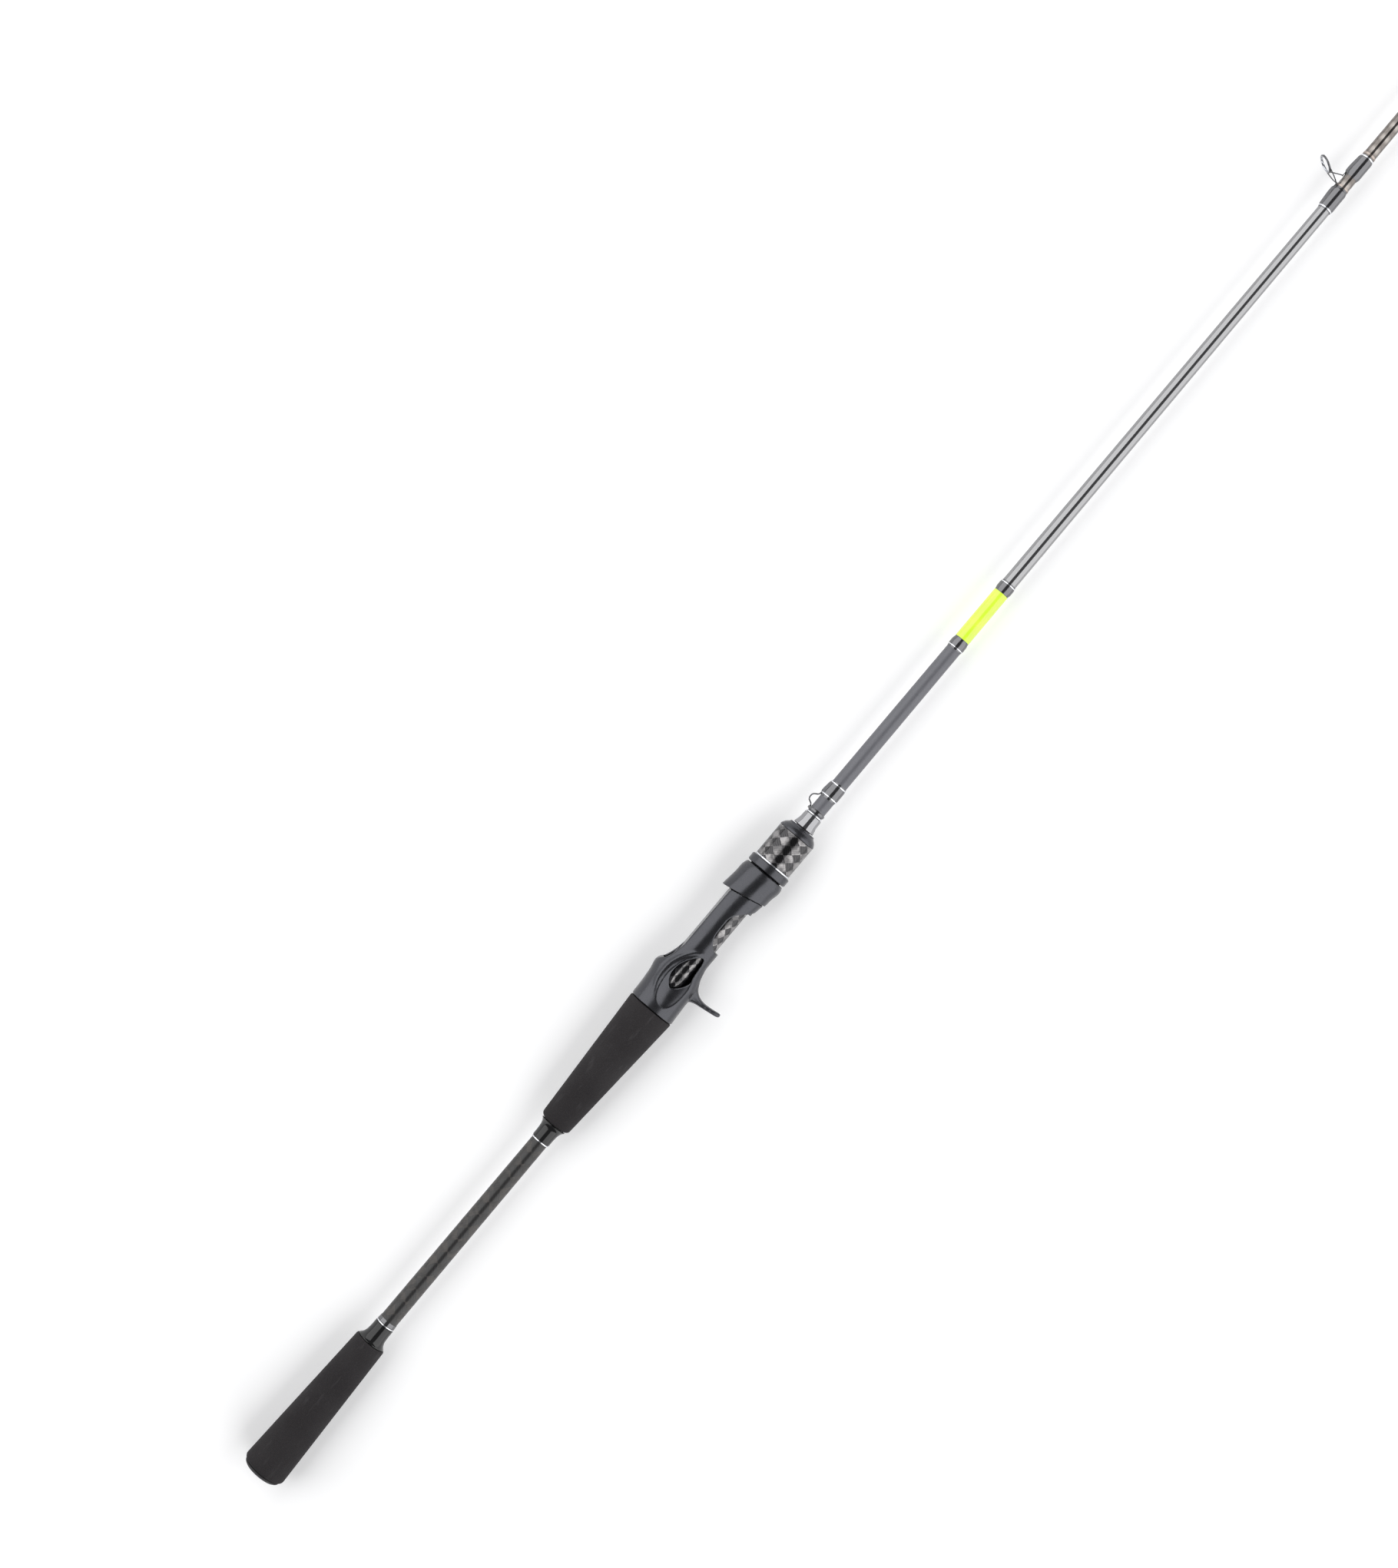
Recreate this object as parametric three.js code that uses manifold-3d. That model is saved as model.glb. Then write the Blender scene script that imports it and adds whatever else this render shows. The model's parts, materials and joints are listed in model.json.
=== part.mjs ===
// Two-piece casting rod with a split grip and a trigger reel seat, as a three.js scene graph.
//
// Millimetres. +X runs along the rod from butt to tip, +Y is the side that carries the reel and
// the line guides, and +Z completes the right-handed set. The origin is the centre of the butt end.
// Each piece is turned, lofted or extruded about the rod's own axis, where it sits in use.

import * as THREE from 'three';
import { mergeVertices } from 'three/addons/utils/BufferGeometryUtils.js';
import Module from 'manifold-3d';

const wasm = await Module();
wasm.setup();

// ---------------------------------------------------------------- driving dimensions

// Fits
const GLUE_GAP = 0.15; // radial glue line between bonded sleeves
const END_GAP = 0.3; // end to end, between neighbours on the rod
const SLIDE_GAP = 0.4; // radial, where one piece moves along or round another
const WRAP_GAP = 0.12; // between a wrap and the metal foot under it

// Blank
const ROD_LENGTH = 2290;
const BUTT_SECTION_END = 1200; // end of the male ferrule
const FERRULE_OVERLAP = 70;
const FERRULE_WALL = 0.9;
const FERRULE_GAP = 0.12;
const FERRULE_FADE = 60; // length in which the tip section comes back to its own taper
const BLANK_RADIUS_BUTT = 5.1;
const BLANK_RADIUS_SEAT = 4.9;
const BLANK_RADIUS_STRIPPER = 4.05;
const BLANK_RADIUS_TIP = 0.95;
const BLANK_WALL = 0.9;
const TIP_BORE_STOP = 300; // solid length at the tip

// Butt: cap, grip, winding check and the exposed handle
const BUTT_CAP_LENGTH = 2.6;
const BUTT_CAP_FACE_RADIUS = 8.3;
const BUTT_CAP_RIM_RADIUS = 12.4;
const BUTT_GRIP_LENGTH = 97.9;
const BUTT_GRIP_RADIUS_REAR = 13.75;
const BUTT_GRIP_RADIUS_FRONT = 9.9;
const GRIP_CHAMFER = 1.6;
const HANDLE_WALL_REAR = 0.5; // over the blank, at each end
const HANDLE_WALL_FRONT = 0.45;
const HANDLE_EXPOSED_LENGTH = 137;
const CHECK_RING_LENGTH = 0.8;
const CHECK_RING_PROUD = 0.35;
const BUTT_CHECK_LENGTH = 12.4;
const BUTT_CHECK_FLARE = 3.1;
const LACQUER_LENGTH = 2.5;

// Rear grip and its winding check
const REAR_CHECK_LENGTH = 11.7;
const REAR_CHECK_FLARE = 2.6;
const REAR_CHECK_WALL = 0.5;
const REAR_GRIP_LENGTH = 88.3;
const REAR_GRIP_RADIUS_REAR = 9.9;
const REAR_GRIP_RADIUS_FRONT = 14.85;

// Reel seat body: places along the rod are counted from its rear end
const SEAT_BORE_RADIUS = 7.7;
const SEAT_SLEEVE_WALL = 0.65;
const SEAT_SLEEVE_LENGTH = 84;
const DECK_OVER_THREAD = 0.5; // the deck stands this much over the barrel's thread
const DECK_START = 42;
const DECK_END = 82;
const SHOULDER_X = 85.6; // slanted front shoulder, on the axis
const SHOULDER_SLANT = 11; // degrees
const REAR_HOOD_X = 23.4;
const REAR_HOOD_HEIGHT = 17.1;
const POCKET_HEIGHT = 4.4;
const POCKET_HALF_WIDTH = 6.6;
const POCKET_STEP = 0.2; // pocket floors lie this much under the deck
const REAR_POCKET_END = 21.5;
const TRIGGER_X = 20.3;
const TRIGGER_REACH = 34.4;
const TRIGGER_HALF_WIDTH = 4.6;
const TRIGGER_TIP_HALF_WIDTH = 2.6;
const WINDOW_START = 49;
const WINDOW_LENGTH = 30.2;
const ARBOR_LENGTH = 18;

// Threaded barrel, moving hood and lock nut
const BARREL_WALL = 1.2; // from the bore to the root of the thread
const THREAD_DEPTH = 0.7;
const THREAD_PITCH = 3;
const THREAD_ROOT_WIDTH = 1.9;
const THREAD_CREST_WIDTH = 1.1;
const BARREL_THREAD_START = 98;
const NUT_THREAD_LENGTH = 12;
const NUT_THREAD_INSET = 2;
const NUT_CREST_WIDTH = 0.8;
const KEYWAY_DEPTH = 1.1;
const KEY_HALF_WIDTH = 1.2;
const KEY_LENGTH = 7;
const HOOD_LENGTH = 17.5; // on the axis, from the shoulder to its front end
const HOOD_UNDER_COLLAR = 0.1;
const HOOD_WALL = 1.1; // round its pocket
const HOOD_ROOF = 1.25; // over its pocket
const HOOD_CHIN = 1.25; // its mouth is this much shallower than its front end
const HOOD_LIP_LENGTH = 1.7;
const HOOD_GROOVE_LENGTH = 2.7;
const NUT_NECK_WALL = 1.2; // these three are counted from the barrel's thread
const NUT_FLANGE_WALL = 1.9;
const NUT_CORE_WALL = 1.7;
const NUT_HOOD_GAP = 0.7; // daylight between hood and nut collar
const NUT_COLLAR_LENGTH = 5.2;
const NUT_COLLAR_WALL = 2.2; // over the nut's core
const NUT_TRIM_LENGTH = 0.9;
const NUT_SLEEVE_LENGTH = 21.3;
const NUT_SLEEVE_WALL = 0.85;
const NUT_CAP_LENGTH = 5.8;
const NUT_CAP_CLEARANCE = 0.45; // round the front winding check
const NUT_CAP_LIP = 1.5;
const NUT_CAP_NOSE_WALL = 0.95;

// Front winding check, hook keeper and the wraps ahead of the seat
const FRONT_CHECK_LENGTH = 9.3;
const FRONT_CHECK_WALL = 2.3; // over the blank, at its rear end and at its neck
const FRONT_CHECK_NECK_WALL = 0.95;
const KEEPER_WIRE_RADIUS = 0.5;
const KEEPER_HEIGHT = 3.3; // clear height of the loop over the wire on the blank
const KEEPER_SPAN = 8.6; // between the two wraps
const KEEPER_REAR_WRAP_LENGTH = 2.7;
const KEEPER_FRONT_WRAP_LENGTH = 11.2;
const TRIM_WRAP_LENGTH = 7.2;
const TRIM_WRAP_THICKNESS = 0.55;
const BAND_START_AHEAD = 103.75; // plain blank between the keeper wrap and the first trim wrap
const BAND_LENGTH = 35.4;
const BAND_THICKNESS = 0.18;

// Guides
const STRIPPER_AHEAD_OF_SEAT = 632.5;
const RUNNING_GUIDES = 8;
const GUIDE_SPACING_GROWTH = 1.09; // each gap over the next one nearer the tip
const STRIPPER_RING_RADIUS = 5.5; // outside of the ring insert
const RUNNING_RING_RADIUS = 2.6;
const STRIPPER_RISE = 12.6; // ring centre over the blank's surface
const RUNNING_RISE = 5.2;
const GUIDE_SHRINK = 0.55; // how fast guides come down to running size
const RING_WIDTH = 1.3;
const RING_THICKNESS = 1.0;
const FRAME_THICKNESS = 0.55;
const GUIDE_TILT = 26;
const FOOT_THICKNESS = 0.5;
const FOOT_HALF_WIDTH = 1.1;
const STRIPPER_FOOT_LENGTH = 15;
const RUNNING_FOOT_LENGTH = 9;
const STRIPPER_FOOT_SPREAD = 6; // between the inner ends of its two feet
const WRAP_THICKNESS = 1.05; // over a foot
const WRAP_EDGE = 0.3; // at a wrap's ends
const WRAP_OVERHANG = 2; // wrap beyond the tip of a foot
const TIP_TUBE_LENGTH = 11;
const TIP_TUBE_WALL = 0.45;
const TIP_RING_RADIUS = 2.8;
const TIP_RISE = 5.2;

// Facets round the axis
const HANDLE_FACETS = 24;
const BLANK_FACETS = 14;
const GUIDE_FACETS = 12;
const THREAD_STEPS = 16;

// ---------------------------------------------------------------- places along the rod

const buttGripStart = BUTT_CAP_LENGTH + END_GAP;
const buttGripEnd = buttGripStart + BUTT_GRIP_LENGTH;
const buttCheckStart = buttGripEnd + END_GAP;
const buttCheckEnd = buttCheckStart + BUTT_CHECK_LENGTH;
const buttRingEnd = buttCheckEnd + END_GAP + CHECK_RING_LENGTH;
const lacquerEnd = buttRingEnd + END_GAP + LACQUER_LENGTH;
const rearRingStart = lacquerEnd + HANDLE_EXPOSED_LENGTH;
const rearCheckStart = rearRingStart + CHECK_RING_LENGTH + END_GAP;
const rearCheckEnd = rearCheckStart + REAR_CHECK_LENGTH;
const rearGripStart = rearCheckEnd + END_GAP;
const rearGripEnd = rearGripStart + REAR_GRIP_LENGTH;
const seatRear = rearGripEnd + END_GAP;
const shoulder = seatRear + SHOULDER_X;
const hoodFront = shoulder + HOOD_LENGTH;
const nutStart = hoodFront + NUT_HOOD_GAP;
const nutTrimStart = nutStart + NUT_COLLAR_LENGTH + GLUE_GAP;
const nutSleeveStart = nutTrimStart + NUT_TRIM_LENGTH + GLUE_GAP;
const nutCapStart = nutSleeveStart + NUT_SLEEVE_LENGTH + GLUE_GAP;
const nutEnd = nutCapStart + NUT_CAP_LENGTH;
const barrelEnd = nutEnd - NUT_CAP_LIP - SLIDE_GAP;
const frontCheckStart = nutEnd + SLIDE_GAP;
const frontCheckEnd = frontCheckStart + FRONT_CHECK_LENGTH;
const frontRingEnd = frontCheckEnd + END_GAP + CHECK_RING_LENGTH;
const keeperRearStart = frontRingEnd + END_GAP;
const keeperRearEnd = keeperRearStart + KEEPER_REAR_WRAP_LENGTH;
const keeperFrontStart = keeperRearEnd + KEEPER_SPAN;
const keeperFrontEnd = keeperFrontStart + KEEPER_FRONT_WRAP_LENGTH;
const bandRearWrapStart = keeperFrontEnd + BAND_START_AHEAD;
const bandStart = bandRearWrapStart + TRIM_WRAP_LENGTH + END_GAP;
const bandEnd = bandStart + BAND_LENGTH;
const bandFrontWrapEnd = bandEnd + END_GAP + TRIM_WRAP_LENGTH;
const stripperX = seatRear + STRIPPER_AHEAD_OF_SEAT;
const ferruleStart = BUTT_SECTION_END - FERRULE_OVERLAP;

// ---------------------------------------------------------------- radii, from the bore outwards

const handleRear = BLANK_RADIUS_BUTT + HANDLE_WALL_REAR;
const handleFront = BLANK_RADIUS_SEAT + HANDLE_WALL_FRONT;
const barrelRoot = SEAT_BORE_RADIUS + BARREL_WALL;
const barrelCrest = barrelRoot + THREAD_DEPTH;
const deckHeight = barrelCrest + DECK_OVER_THREAD;
const nutNeck = barrelCrest + NUT_NECK_WALL;
const nutFlange = barrelCrest + NUT_FLANGE_WALL;
const nutCore = barrelCrest + NUT_CORE_WALL;
const nutSleeve = nutCore + NUT_SLEEVE_WALL;
const nutCollar = nutCore + NUT_COLLAR_WALL;
const hoodRadius = nutCollar - HOOD_UNDER_COLLAR;
const hoodMouthTop = deckHeight + POCKET_HEIGHT + HOOD_ROOF;
const hoodMouthDrop = hoodRadius - HOOD_CHIN;
const frontCheckRadius = BLANK_RADIUS_SEAT + FRONT_CHECK_WALL;
const frontCheckNeck = BLANK_RADIUS_SEAT + FRONT_CHECK_NECK_WALL;
const nutCapBore = frontCheckRadius + NUT_CAP_CLEARANCE;
const nutCapNose = nutCapBore + NUT_CAP_NOSE_WALL;

// Outside radius of the blank, as one tapering rod from butt to tip.
const TAPER = [
  [0, BLANK_RADIUS_BUTT],
  [frontCheckStart, BLANK_RADIUS_SEAT],
  [stripperX, BLANK_RADIUS_STRIPPER],
  [ROD_LENGTH, BLANK_RADIUS_TIP],
];

function alongLine(stations, x) {
  const last = stations.length - 1;
  let i = 1;
  while (i < last && x > stations[i][0]) i += 1;
  const [x0, y0] = stations[i - 1];
  const [x1, y1] = stations[i];
  return THREE.MathUtils.mapLinear(x, x0, x1, y0, y1);
}

const blankRadius = (x) => alongLine(TAPER, x);

// Outside of the tip section: it swells over the male ferrule, then joins the common taper.
const TIP_TAPER = [
  [ferruleStart, blankRadius(ferruleStart) + FERRULE_GAP + FERRULE_WALL],
  [BUTT_SECTION_END, blankRadius(BUTT_SECTION_END) + FERRULE_GAP + FERRULE_WALL],
  [BUTT_SECTION_END + FERRULE_FADE, blankRadius(BUTT_SECTION_END + FERRULE_FADE)],
  [ROD_LENGTH, BLANK_RADIUS_TIP],
];

// Outside radius of the rod at x, on whichever section shows there.
const surfaceRadius = (x) => (x < ferruleStart ? blankRadius(x) : alongLine(TIP_TAPER, x));

const HANDLE_TAPER = [
  [lacquerEnd, handleRear],
  [rearRingStart, handleFront],
];

const handleRadius = (x) => alongLine(HANDLE_TAPER, THREE.MathUtils.clamp(x, lacquerEnd, rearRingStart));

// ---------------------------------------------------------------- materials

const eva = new THREE.MeshStandardMaterial({ color: 0x2d2b2d, roughness: 0.92, metalness: 0 });
const rubber = new THREE.MeshStandardMaterial({ color: 0x1c1b1c, roughness: 0.8, metalness: 0 });
const carbonWeave = new THREE.MeshStandardMaterial({ color: 0x2c2a29, roughness: 0.35, metalness: 0.1 });
const seatGrey = new THREE.MeshStandardMaterial({ color: 0x404146, roughness: 0.42, metalness: 0.2 });
const glossBlack = new THREE.MeshStandardMaterial({ color: 0x0e0e10, roughness: 0.15, metalness: 0.1 });
const silver = new THREE.MeshStandardMaterial({ color: 0xb9bcc2, roughness: 0.25, metalness: 1 });
const blankGrey = new THREE.MeshStandardMaterial({ color: 0x64656a, roughness: 0.45, metalness: 0.3 });
const blankBlack = new THREE.MeshStandardMaterial({ color: 0x141416, roughness: 0.2, metalness: 0.1 });
const neon = new THREE.MeshStandardMaterial({ color: 0xd9ff2d, roughness: 0.25, metalness: 0 });
const wrapBlack = new THREE.MeshStandardMaterial({ color: 0x121113, roughness: 0.12, metalness: 0 });
const gunmetal = new THREE.MeshStandardMaterial({ color: 0x4b4c50, roughness: 0.3, metalness: 1 });
const ringCeramic = new THREE.MeshStandardMaterial({ color: 0x5c5e63, roughness: 0.12, metalness: 0.4 });
const arborFoam = new THREE.MeshStandardMaterial({ color: 0xb7a98c, roughness: 0.9, metalness: 0 });

// ---------------------------------------------------------------- geometry helpers

const rod = new THREE.Group();

function addPiece(name, geometry, material) {
  const mesh = new THREE.Mesh(geometry, material);
  mesh.name = name;
  rod.add(mesh);
}

function toSolid(geometry) {
  geometry.deleteAttribute('normal');
  geometry.deleteAttribute('uv');
  const merged = mergeVertices(geometry, 1e-4);
  return new wasm.Manifold(new wasm.Mesh({
    numProp: 3,
    vertProperties: Float32Array.from(merged.attributes.position.array),
    triVerts: Uint32Array.from(merged.index.array),
  }));
}

function toGeometry(solid) {
  const mesh = solid.getMesh();
  const geometry = new THREE.BufferGeometry();
  geometry.setAttribute('position', new THREE.BufferAttribute(mesh.vertProperties, 3));
  geometry.setIndex(new THREE.BufferAttribute(mesh.triVerts, 1));
  return geometry;
}

// Turns a closed outline of [x, radius] points about the rod's axis. The outline runs forward
// along the outside and back along the bore, or starts and ends on the axis.
function turned(outline, facets) {
  const points = outline.map(([x, radius]) => new THREE.Vector2(radius, x));
  if (outline[0][1] > 0) points.push(points[0].clone());
  const geometry = new THREE.LatheGeometry(points, facets);
  geometry.rotateZ(-Math.PI / 2);
  return geometry;
}

// A plain sleeve with its own radius at each end, outside and in the bore.
function sleeve(x0, x1, [outer0, outer1], [bore0, bore1], facets) {
  return turned([[x0, outer0], [x1, outer1], [x1, bore1], [x0, bore0]], facets);
}

// Closed skin over rings of equally many points, with flat ends.
function skin(rings) {
  const count = rings[0].length;
  const positions = rings.flat().flatMap((p) => [p.x, p.y, p.z]);
  const index = [];
  for (let r = 0; r + 1 < rings.length; r += 1) {
    for (let i = 0; i < count; i += 1) {
      const j = (i + 1) % count;
      const a = r * count + i;
      const b = r * count + j;
      index.push(a, a + count, b, b, a + count, b + count);
    }
  }
  const last = (rings.length - 1) * count;
  for (let i = 1; i + 1 < count; i += 1) {
    index.push(0, i, i + 1);
    index.push(last, last + i + 1, last + i);
  }
  const geometry = new THREE.BufferGeometry();
  geometry.setAttribute('position', new THREE.Float32BufferAttribute(positions, 3));
  geometry.setIndex(index);
  return geometry;
}

// A loft along the rod. Each station is [x, top, bottom, half width]; squareness 2 is an ellipse.
function loft(stations, squareness, facets) {
  const power = 2 / squareness;
  const bulge = (value) => Math.sign(value) * Math.abs(value) ** power;
  return skin(stations.map(([x, top, bottom, halfWidth]) => {
    const ring = [];
    for (let i = 0; i < facets; i += 1) {
      const turn = (i / facets) * 2 * Math.PI;
      const y = (top + bottom) / 2 + ((top - bottom) / 2) * bulge(Math.sin(turn));
      ring.push(new THREE.Vector3(x, y, halfWidth * bulge(Math.cos(turn))));
    }
    return ring;
  }));
}

// A block that fills everything ahead of a slanted plane through (x, 0).
function aheadOfSlant(x) {
  const size = 120;
  const block = new THREE.BoxGeometry(size, size, size);
  block.translate(size / 2, 0, 0);
  block.rotateZ(THREE.MathUtils.degToRad(SHOULDER_SLANT));
  block.translate(x, 0, 0);
  return toSolid(block);
}

// A side outline, given as a THREE.Shape in X and Y, made halfWidth thick to each side of Z = 0.
function sidePlate(shape, halfWidth, curveSegments = 6) {
  const plate = new THREE.ExtrudeGeometry(shape, {
    depth: 2 * halfWidth,
    bevelEnabled: false,
    curveSegments,
  });
  plate.translate(0, 0, -halfWidth);
  return toSolid(plate);
}

function block(x0, x1, y0, y1, halfWidth) {
  const box = new THREE.BoxGeometry(x1 - x0, y1 - y0, 2 * halfWidth);
  box.translate((x0 + x1) / 2, (y0 + y1) / 2, 0);
  return toSolid(box);
}

// Round wire along a curve.
function wire(curve, radius, steps, sides = 8) {
  const section = new THREE.Shape();
  for (let i = 0; i < sides; i += 1) {
    const turn = (i / sides) * 2 * Math.PI;
    const place = [radius * Math.cos(turn), radius * Math.sin(turn)];
    if (i === 0) section.moveTo(...place);
    else section.lineTo(...place);
  }
  section.closePath();
  return toSolid(new THREE.ExtrudeGeometry(section, { steps, extrudePath: curve }));
}

// One right-hand thread ridge: a trapezoid that climbs one pitch each turn.
function threadRidge(x0, length, rootRadius, crestRadius, rootWidth, crestWidth) {
  const turns = length / THREAD_PITCH;
  const steps = Math.round(turns * THREAD_STEPS);
  const corners = [
    [-rootWidth / 2, rootRadius],
    [rootWidth / 2, rootRadius],
    [crestWidth / 2, crestRadius],
    [-crestWidth / 2, crestRadius],
  ];
  if (crestRadius > rootRadius) corners.reverse();
  const rings = [];
  for (let i = 0; i <= steps; i += 1) {
    const turn = (i / THREAD_STEPS) * 2 * Math.PI;
    const climb = x0 + (i / THREAD_STEPS) * THREAD_PITCH;
    rings.push(corners.map(([dx, radius]) => new THREE.Vector3(
      climb + dx,
      radius * Math.cos(turn),
      radius * Math.sin(turn),
    )));
  }
  return toSolid(skin(rings));
}

// ---------------------------------------------------------------- butt and handle

const buttBore = blankRadius(0) + GLUE_GAP;

addPiece('butt_cap', turned([
  [0, 0],
  [BUTT_CAP_LENGTH, 0],
  [BUTT_CAP_LENGTH, BUTT_CAP_RIM_RADIUS],
  [BUTT_CAP_LENGTH * 0.55, BUTT_CAP_RIM_RADIUS - 0.6],
  [BUTT_CAP_LENGTH * 0.2, (BUTT_CAP_RIM_RADIUS + BUTT_CAP_FACE_RADIUS) / 2],
  [0, BUTT_CAP_FACE_RADIUS],
].reverse(), HANDLE_FACETS), rubber);

// A tapered foam grip with a chamfer at its rear end and a broken edge at its front end.
function foamGrip(name, x0, x1, rearRadius, frontRadius, chamferRadius) {
  const bore = handleRadius(x0) + GLUE_GAP;
  addPiece(name, turned([
    [x0, chamferRadius],
    [x0 + GRIP_CHAMFER, rearRadius],
    [x1 - 0.6, frontRadius],
    [x1, frontRadius - 0.5],
    [x1, bore],
    [x0, bore],
  ], HANDLE_FACETS), eva);
}

foamGrip('butt_grip', buttGripStart, buttGripEnd, BUTT_GRIP_RADIUS_REAR, BUTT_GRIP_RADIUS_FRONT,
  BUTT_CAP_RIM_RADIUS + 0.2);
foamGrip('rear_grip', rearGripStart, rearGripEnd, REAR_GRIP_RADIUS_REAR, REAR_GRIP_RADIUS_FRONT,
  REAR_GRIP_RADIUS_REAR - 1.9);

// The woven tube that the hand sees between the grips runs on under both of them.
addPiece('handle_carbon_sleeve', turned([
  [buttGripStart, handleRear],
  [lacquerEnd, handleRear],
  [rearRingStart, handleFront],
  [rearGripEnd, handleFront],
  [rearGripEnd, blankRadius(rearGripEnd) + GLUE_GAP],
  [buttGripStart, blankRadius(buttGripStart) + GLUE_GAP / 2],
], HANDLE_FACETS), carbonWeave);

// A trumpet-shaped check on the handle: its flare meets a grip at flareX and its neck ends at neckX.
function handleCheck(name, neckX, flareX, flare) {
  const neck = handleRadius(neckX) + GLUE_GAP + REAR_CHECK_WALL;
  const along = (share) => THREE.MathUtils.lerp(neckX, flareX, share);
  const outside = [0, 0.35, 0.65, 0.8, 0.9, 1].map((share) => [along(share), neck + flare * share ** 5]);
  const bore = handleRadius(neckX) + GLUE_GAP;
  const outline = [...outside, [flareX, bore], [neckX, bore]];
  addPiece(name, turned(flareX > neckX ? outline : outline.reverse(), HANDLE_FACETS), glossBlack);
}

handleCheck('butt_winding_check', buttCheckEnd, buttCheckStart, BUTT_CHECK_FLARE);
handleCheck('rear_winding_check', rearCheckStart, rearCheckEnd, REAR_CHECK_FLARE);

// A thin bright ring pressed on at the neck of a winding check.
function trimRing(name, x0, radius, proud, facets) {
  const outer = radius + GLUE_GAP + proud;
  const bore = radius + GLUE_GAP;
  addPiece(name, sleeve(x0, x0 + CHECK_RING_LENGTH, [outer, outer], [bore, bore], facets), silver);
}

trimRing('butt_check_ring', buttCheckEnd + END_GAP, handleRear, CHECK_RING_PROUD, HANDLE_FACETS);
trimRing('rear_check_ring', rearRingStart, handleFront, CHECK_RING_PROUD, HANDLE_FACETS);

addPiece('butt_lacquer_band', sleeve(
  buttRingEnd + END_GAP,
  lacquerEnd,
  [handleRear + GLUE_GAP + 0.3, handleRear + GLUE_GAP + 0.1],
  [handleRear + GLUE_GAP / 2, handleRear + GLUE_GAP / 2],
  HANDLE_FACETS,
), wrapBlack);

// ---------------------------------------------------------------- blank

addPiece('blank_butt_section', turned([
  [buttGripStart, blankRadius(buttGripStart)],
  [frontCheckStart, BLANK_RADIUS_SEAT],
  [stripperX, BLANK_RADIUS_STRIPPER],
  [BUTT_SECTION_END, blankRadius(BUTT_SECTION_END)],
  [BUTT_SECTION_END, blankRadius(BUTT_SECTION_END) - BLANK_WALL],
  [buttGripStart, blankRadius(buttGripStart) - BLANK_WALL],
], BLANK_FACETS), blankGrey);

addPiece('blank_tip_section', turned([
  ...TIP_TAPER,
  [ROD_LENGTH, 0],
  [ROD_LENGTH - TIP_BORE_STOP, 0],
  [BUTT_SECTION_END + END_GAP, blankRadius(BUTT_SECTION_END) - BLANK_WALL],
  [BUTT_SECTION_END + END_GAP, blankRadius(BUTT_SECTION_END) + FERRULE_GAP],
  [ferruleStart, blankRadius(ferruleStart) + FERRULE_GAP],
], BLANK_FACETS), blankBlack);

// ---------------------------------------------------------------- reel seat body

// Its own X runs from the rear end of the seat.
const inSeat = (x) => seatRear + x;
const ridgeStart = inSeat(BARREL_THREAD_START) + THREAD_ROOT_WIDTH / 2;

function seatShell() {
  const rear = REAR_GRIP_RADIUS_FRONT;
  return toSolid(loft([
    [inSeat(0), rear, -rear, rear],
    [inSeat(10), rear + 0.4, -rear + 0.6, rear - 0.4],
    [inSeat(18), rear + 1.2, -rear + 0.9, rear - 1.2],
    [inSeat(REAR_HOOD_X), REAR_HOOD_HEIGHT, -rear + 0.9, rear - 1.9],
    [inSeat(30), REAR_HOOD_HEIGHT - 1.2, -rear + 3.2, rear - 2.9],
    [inSeat(37), deckHeight + 3.6, -9.9, rear - 3.9],
    [inSeat(46), deckHeight + 2.4, -9.7, rear - 4.3],
    [inSeat(70), deckHeight + 2.4, -9.7, rear - 4.3],
    [inSeat(80), deckHeight + 2.4, -10.2, rear - 3.6],
    [inSeat(SHOULDER_X + 4), deckHeight + 2.4, -11.9, hoodRadius - 1.2],
  ], 2.2, 28));
}

// Everything over the rear hood's front slope and over the reel foot deck.
function deckCut() {
  const shape = new THREE.Shape();
  shape.moveTo(inSeat(REAR_HOOD_X), 40);
  shape.lineTo(inSeat(REAR_HOOD_X), REAR_HOOD_HEIGHT + 0.2);
  shape.quadraticCurveTo(
    inSeat(26.5), REAR_HOOD_HEIGHT - 0.4,
    inSeat(29), POCKET_HEIGHT + deckHeight - 0.8,
  );
  shape.quadraticCurveTo(inSeat(34), deckHeight + 1, inSeat(DECK_START), deckHeight);
  shape.lineTo(inSeat(DECK_END), deckHeight);
  shape.lineTo(inSeat(DECK_END), deckHeight - POCKET_STEP);
  shape.lineTo(inSeat(SHOULDER_X + 20), deckHeight - POCKET_STEP);
  shape.lineTo(inSeat(SHOULDER_X + 20), 40);
  return sidePlate(shape, 30);
}

// The almond window in each flank shows the sleeve inside.
function flankWindow() {
  const shape = new THREE.Shape();
  shape.moveTo(inSeat(16.8), 0.7);
  shape.bezierCurveTo(inSeat(21), 6.8, inSeat(30), 7.6, inSeat(37.5), 1.6);
  shape.bezierCurveTo(inSeat(40.5), -0.8, inSeat(43), -3.4, inSeat(41.2), -4.6);
  shape.bezierCurveTo(inSeat(38), -6.4, inSeat(31), -5.2, inSeat(27), -7.2);
  shape.bezierCurveTo(inSeat(22.5), -6.4, inSeat(18), -3.2, inSeat(16.8), 0.7);
  return sidePlate(shape, 30, 5);
}

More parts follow.
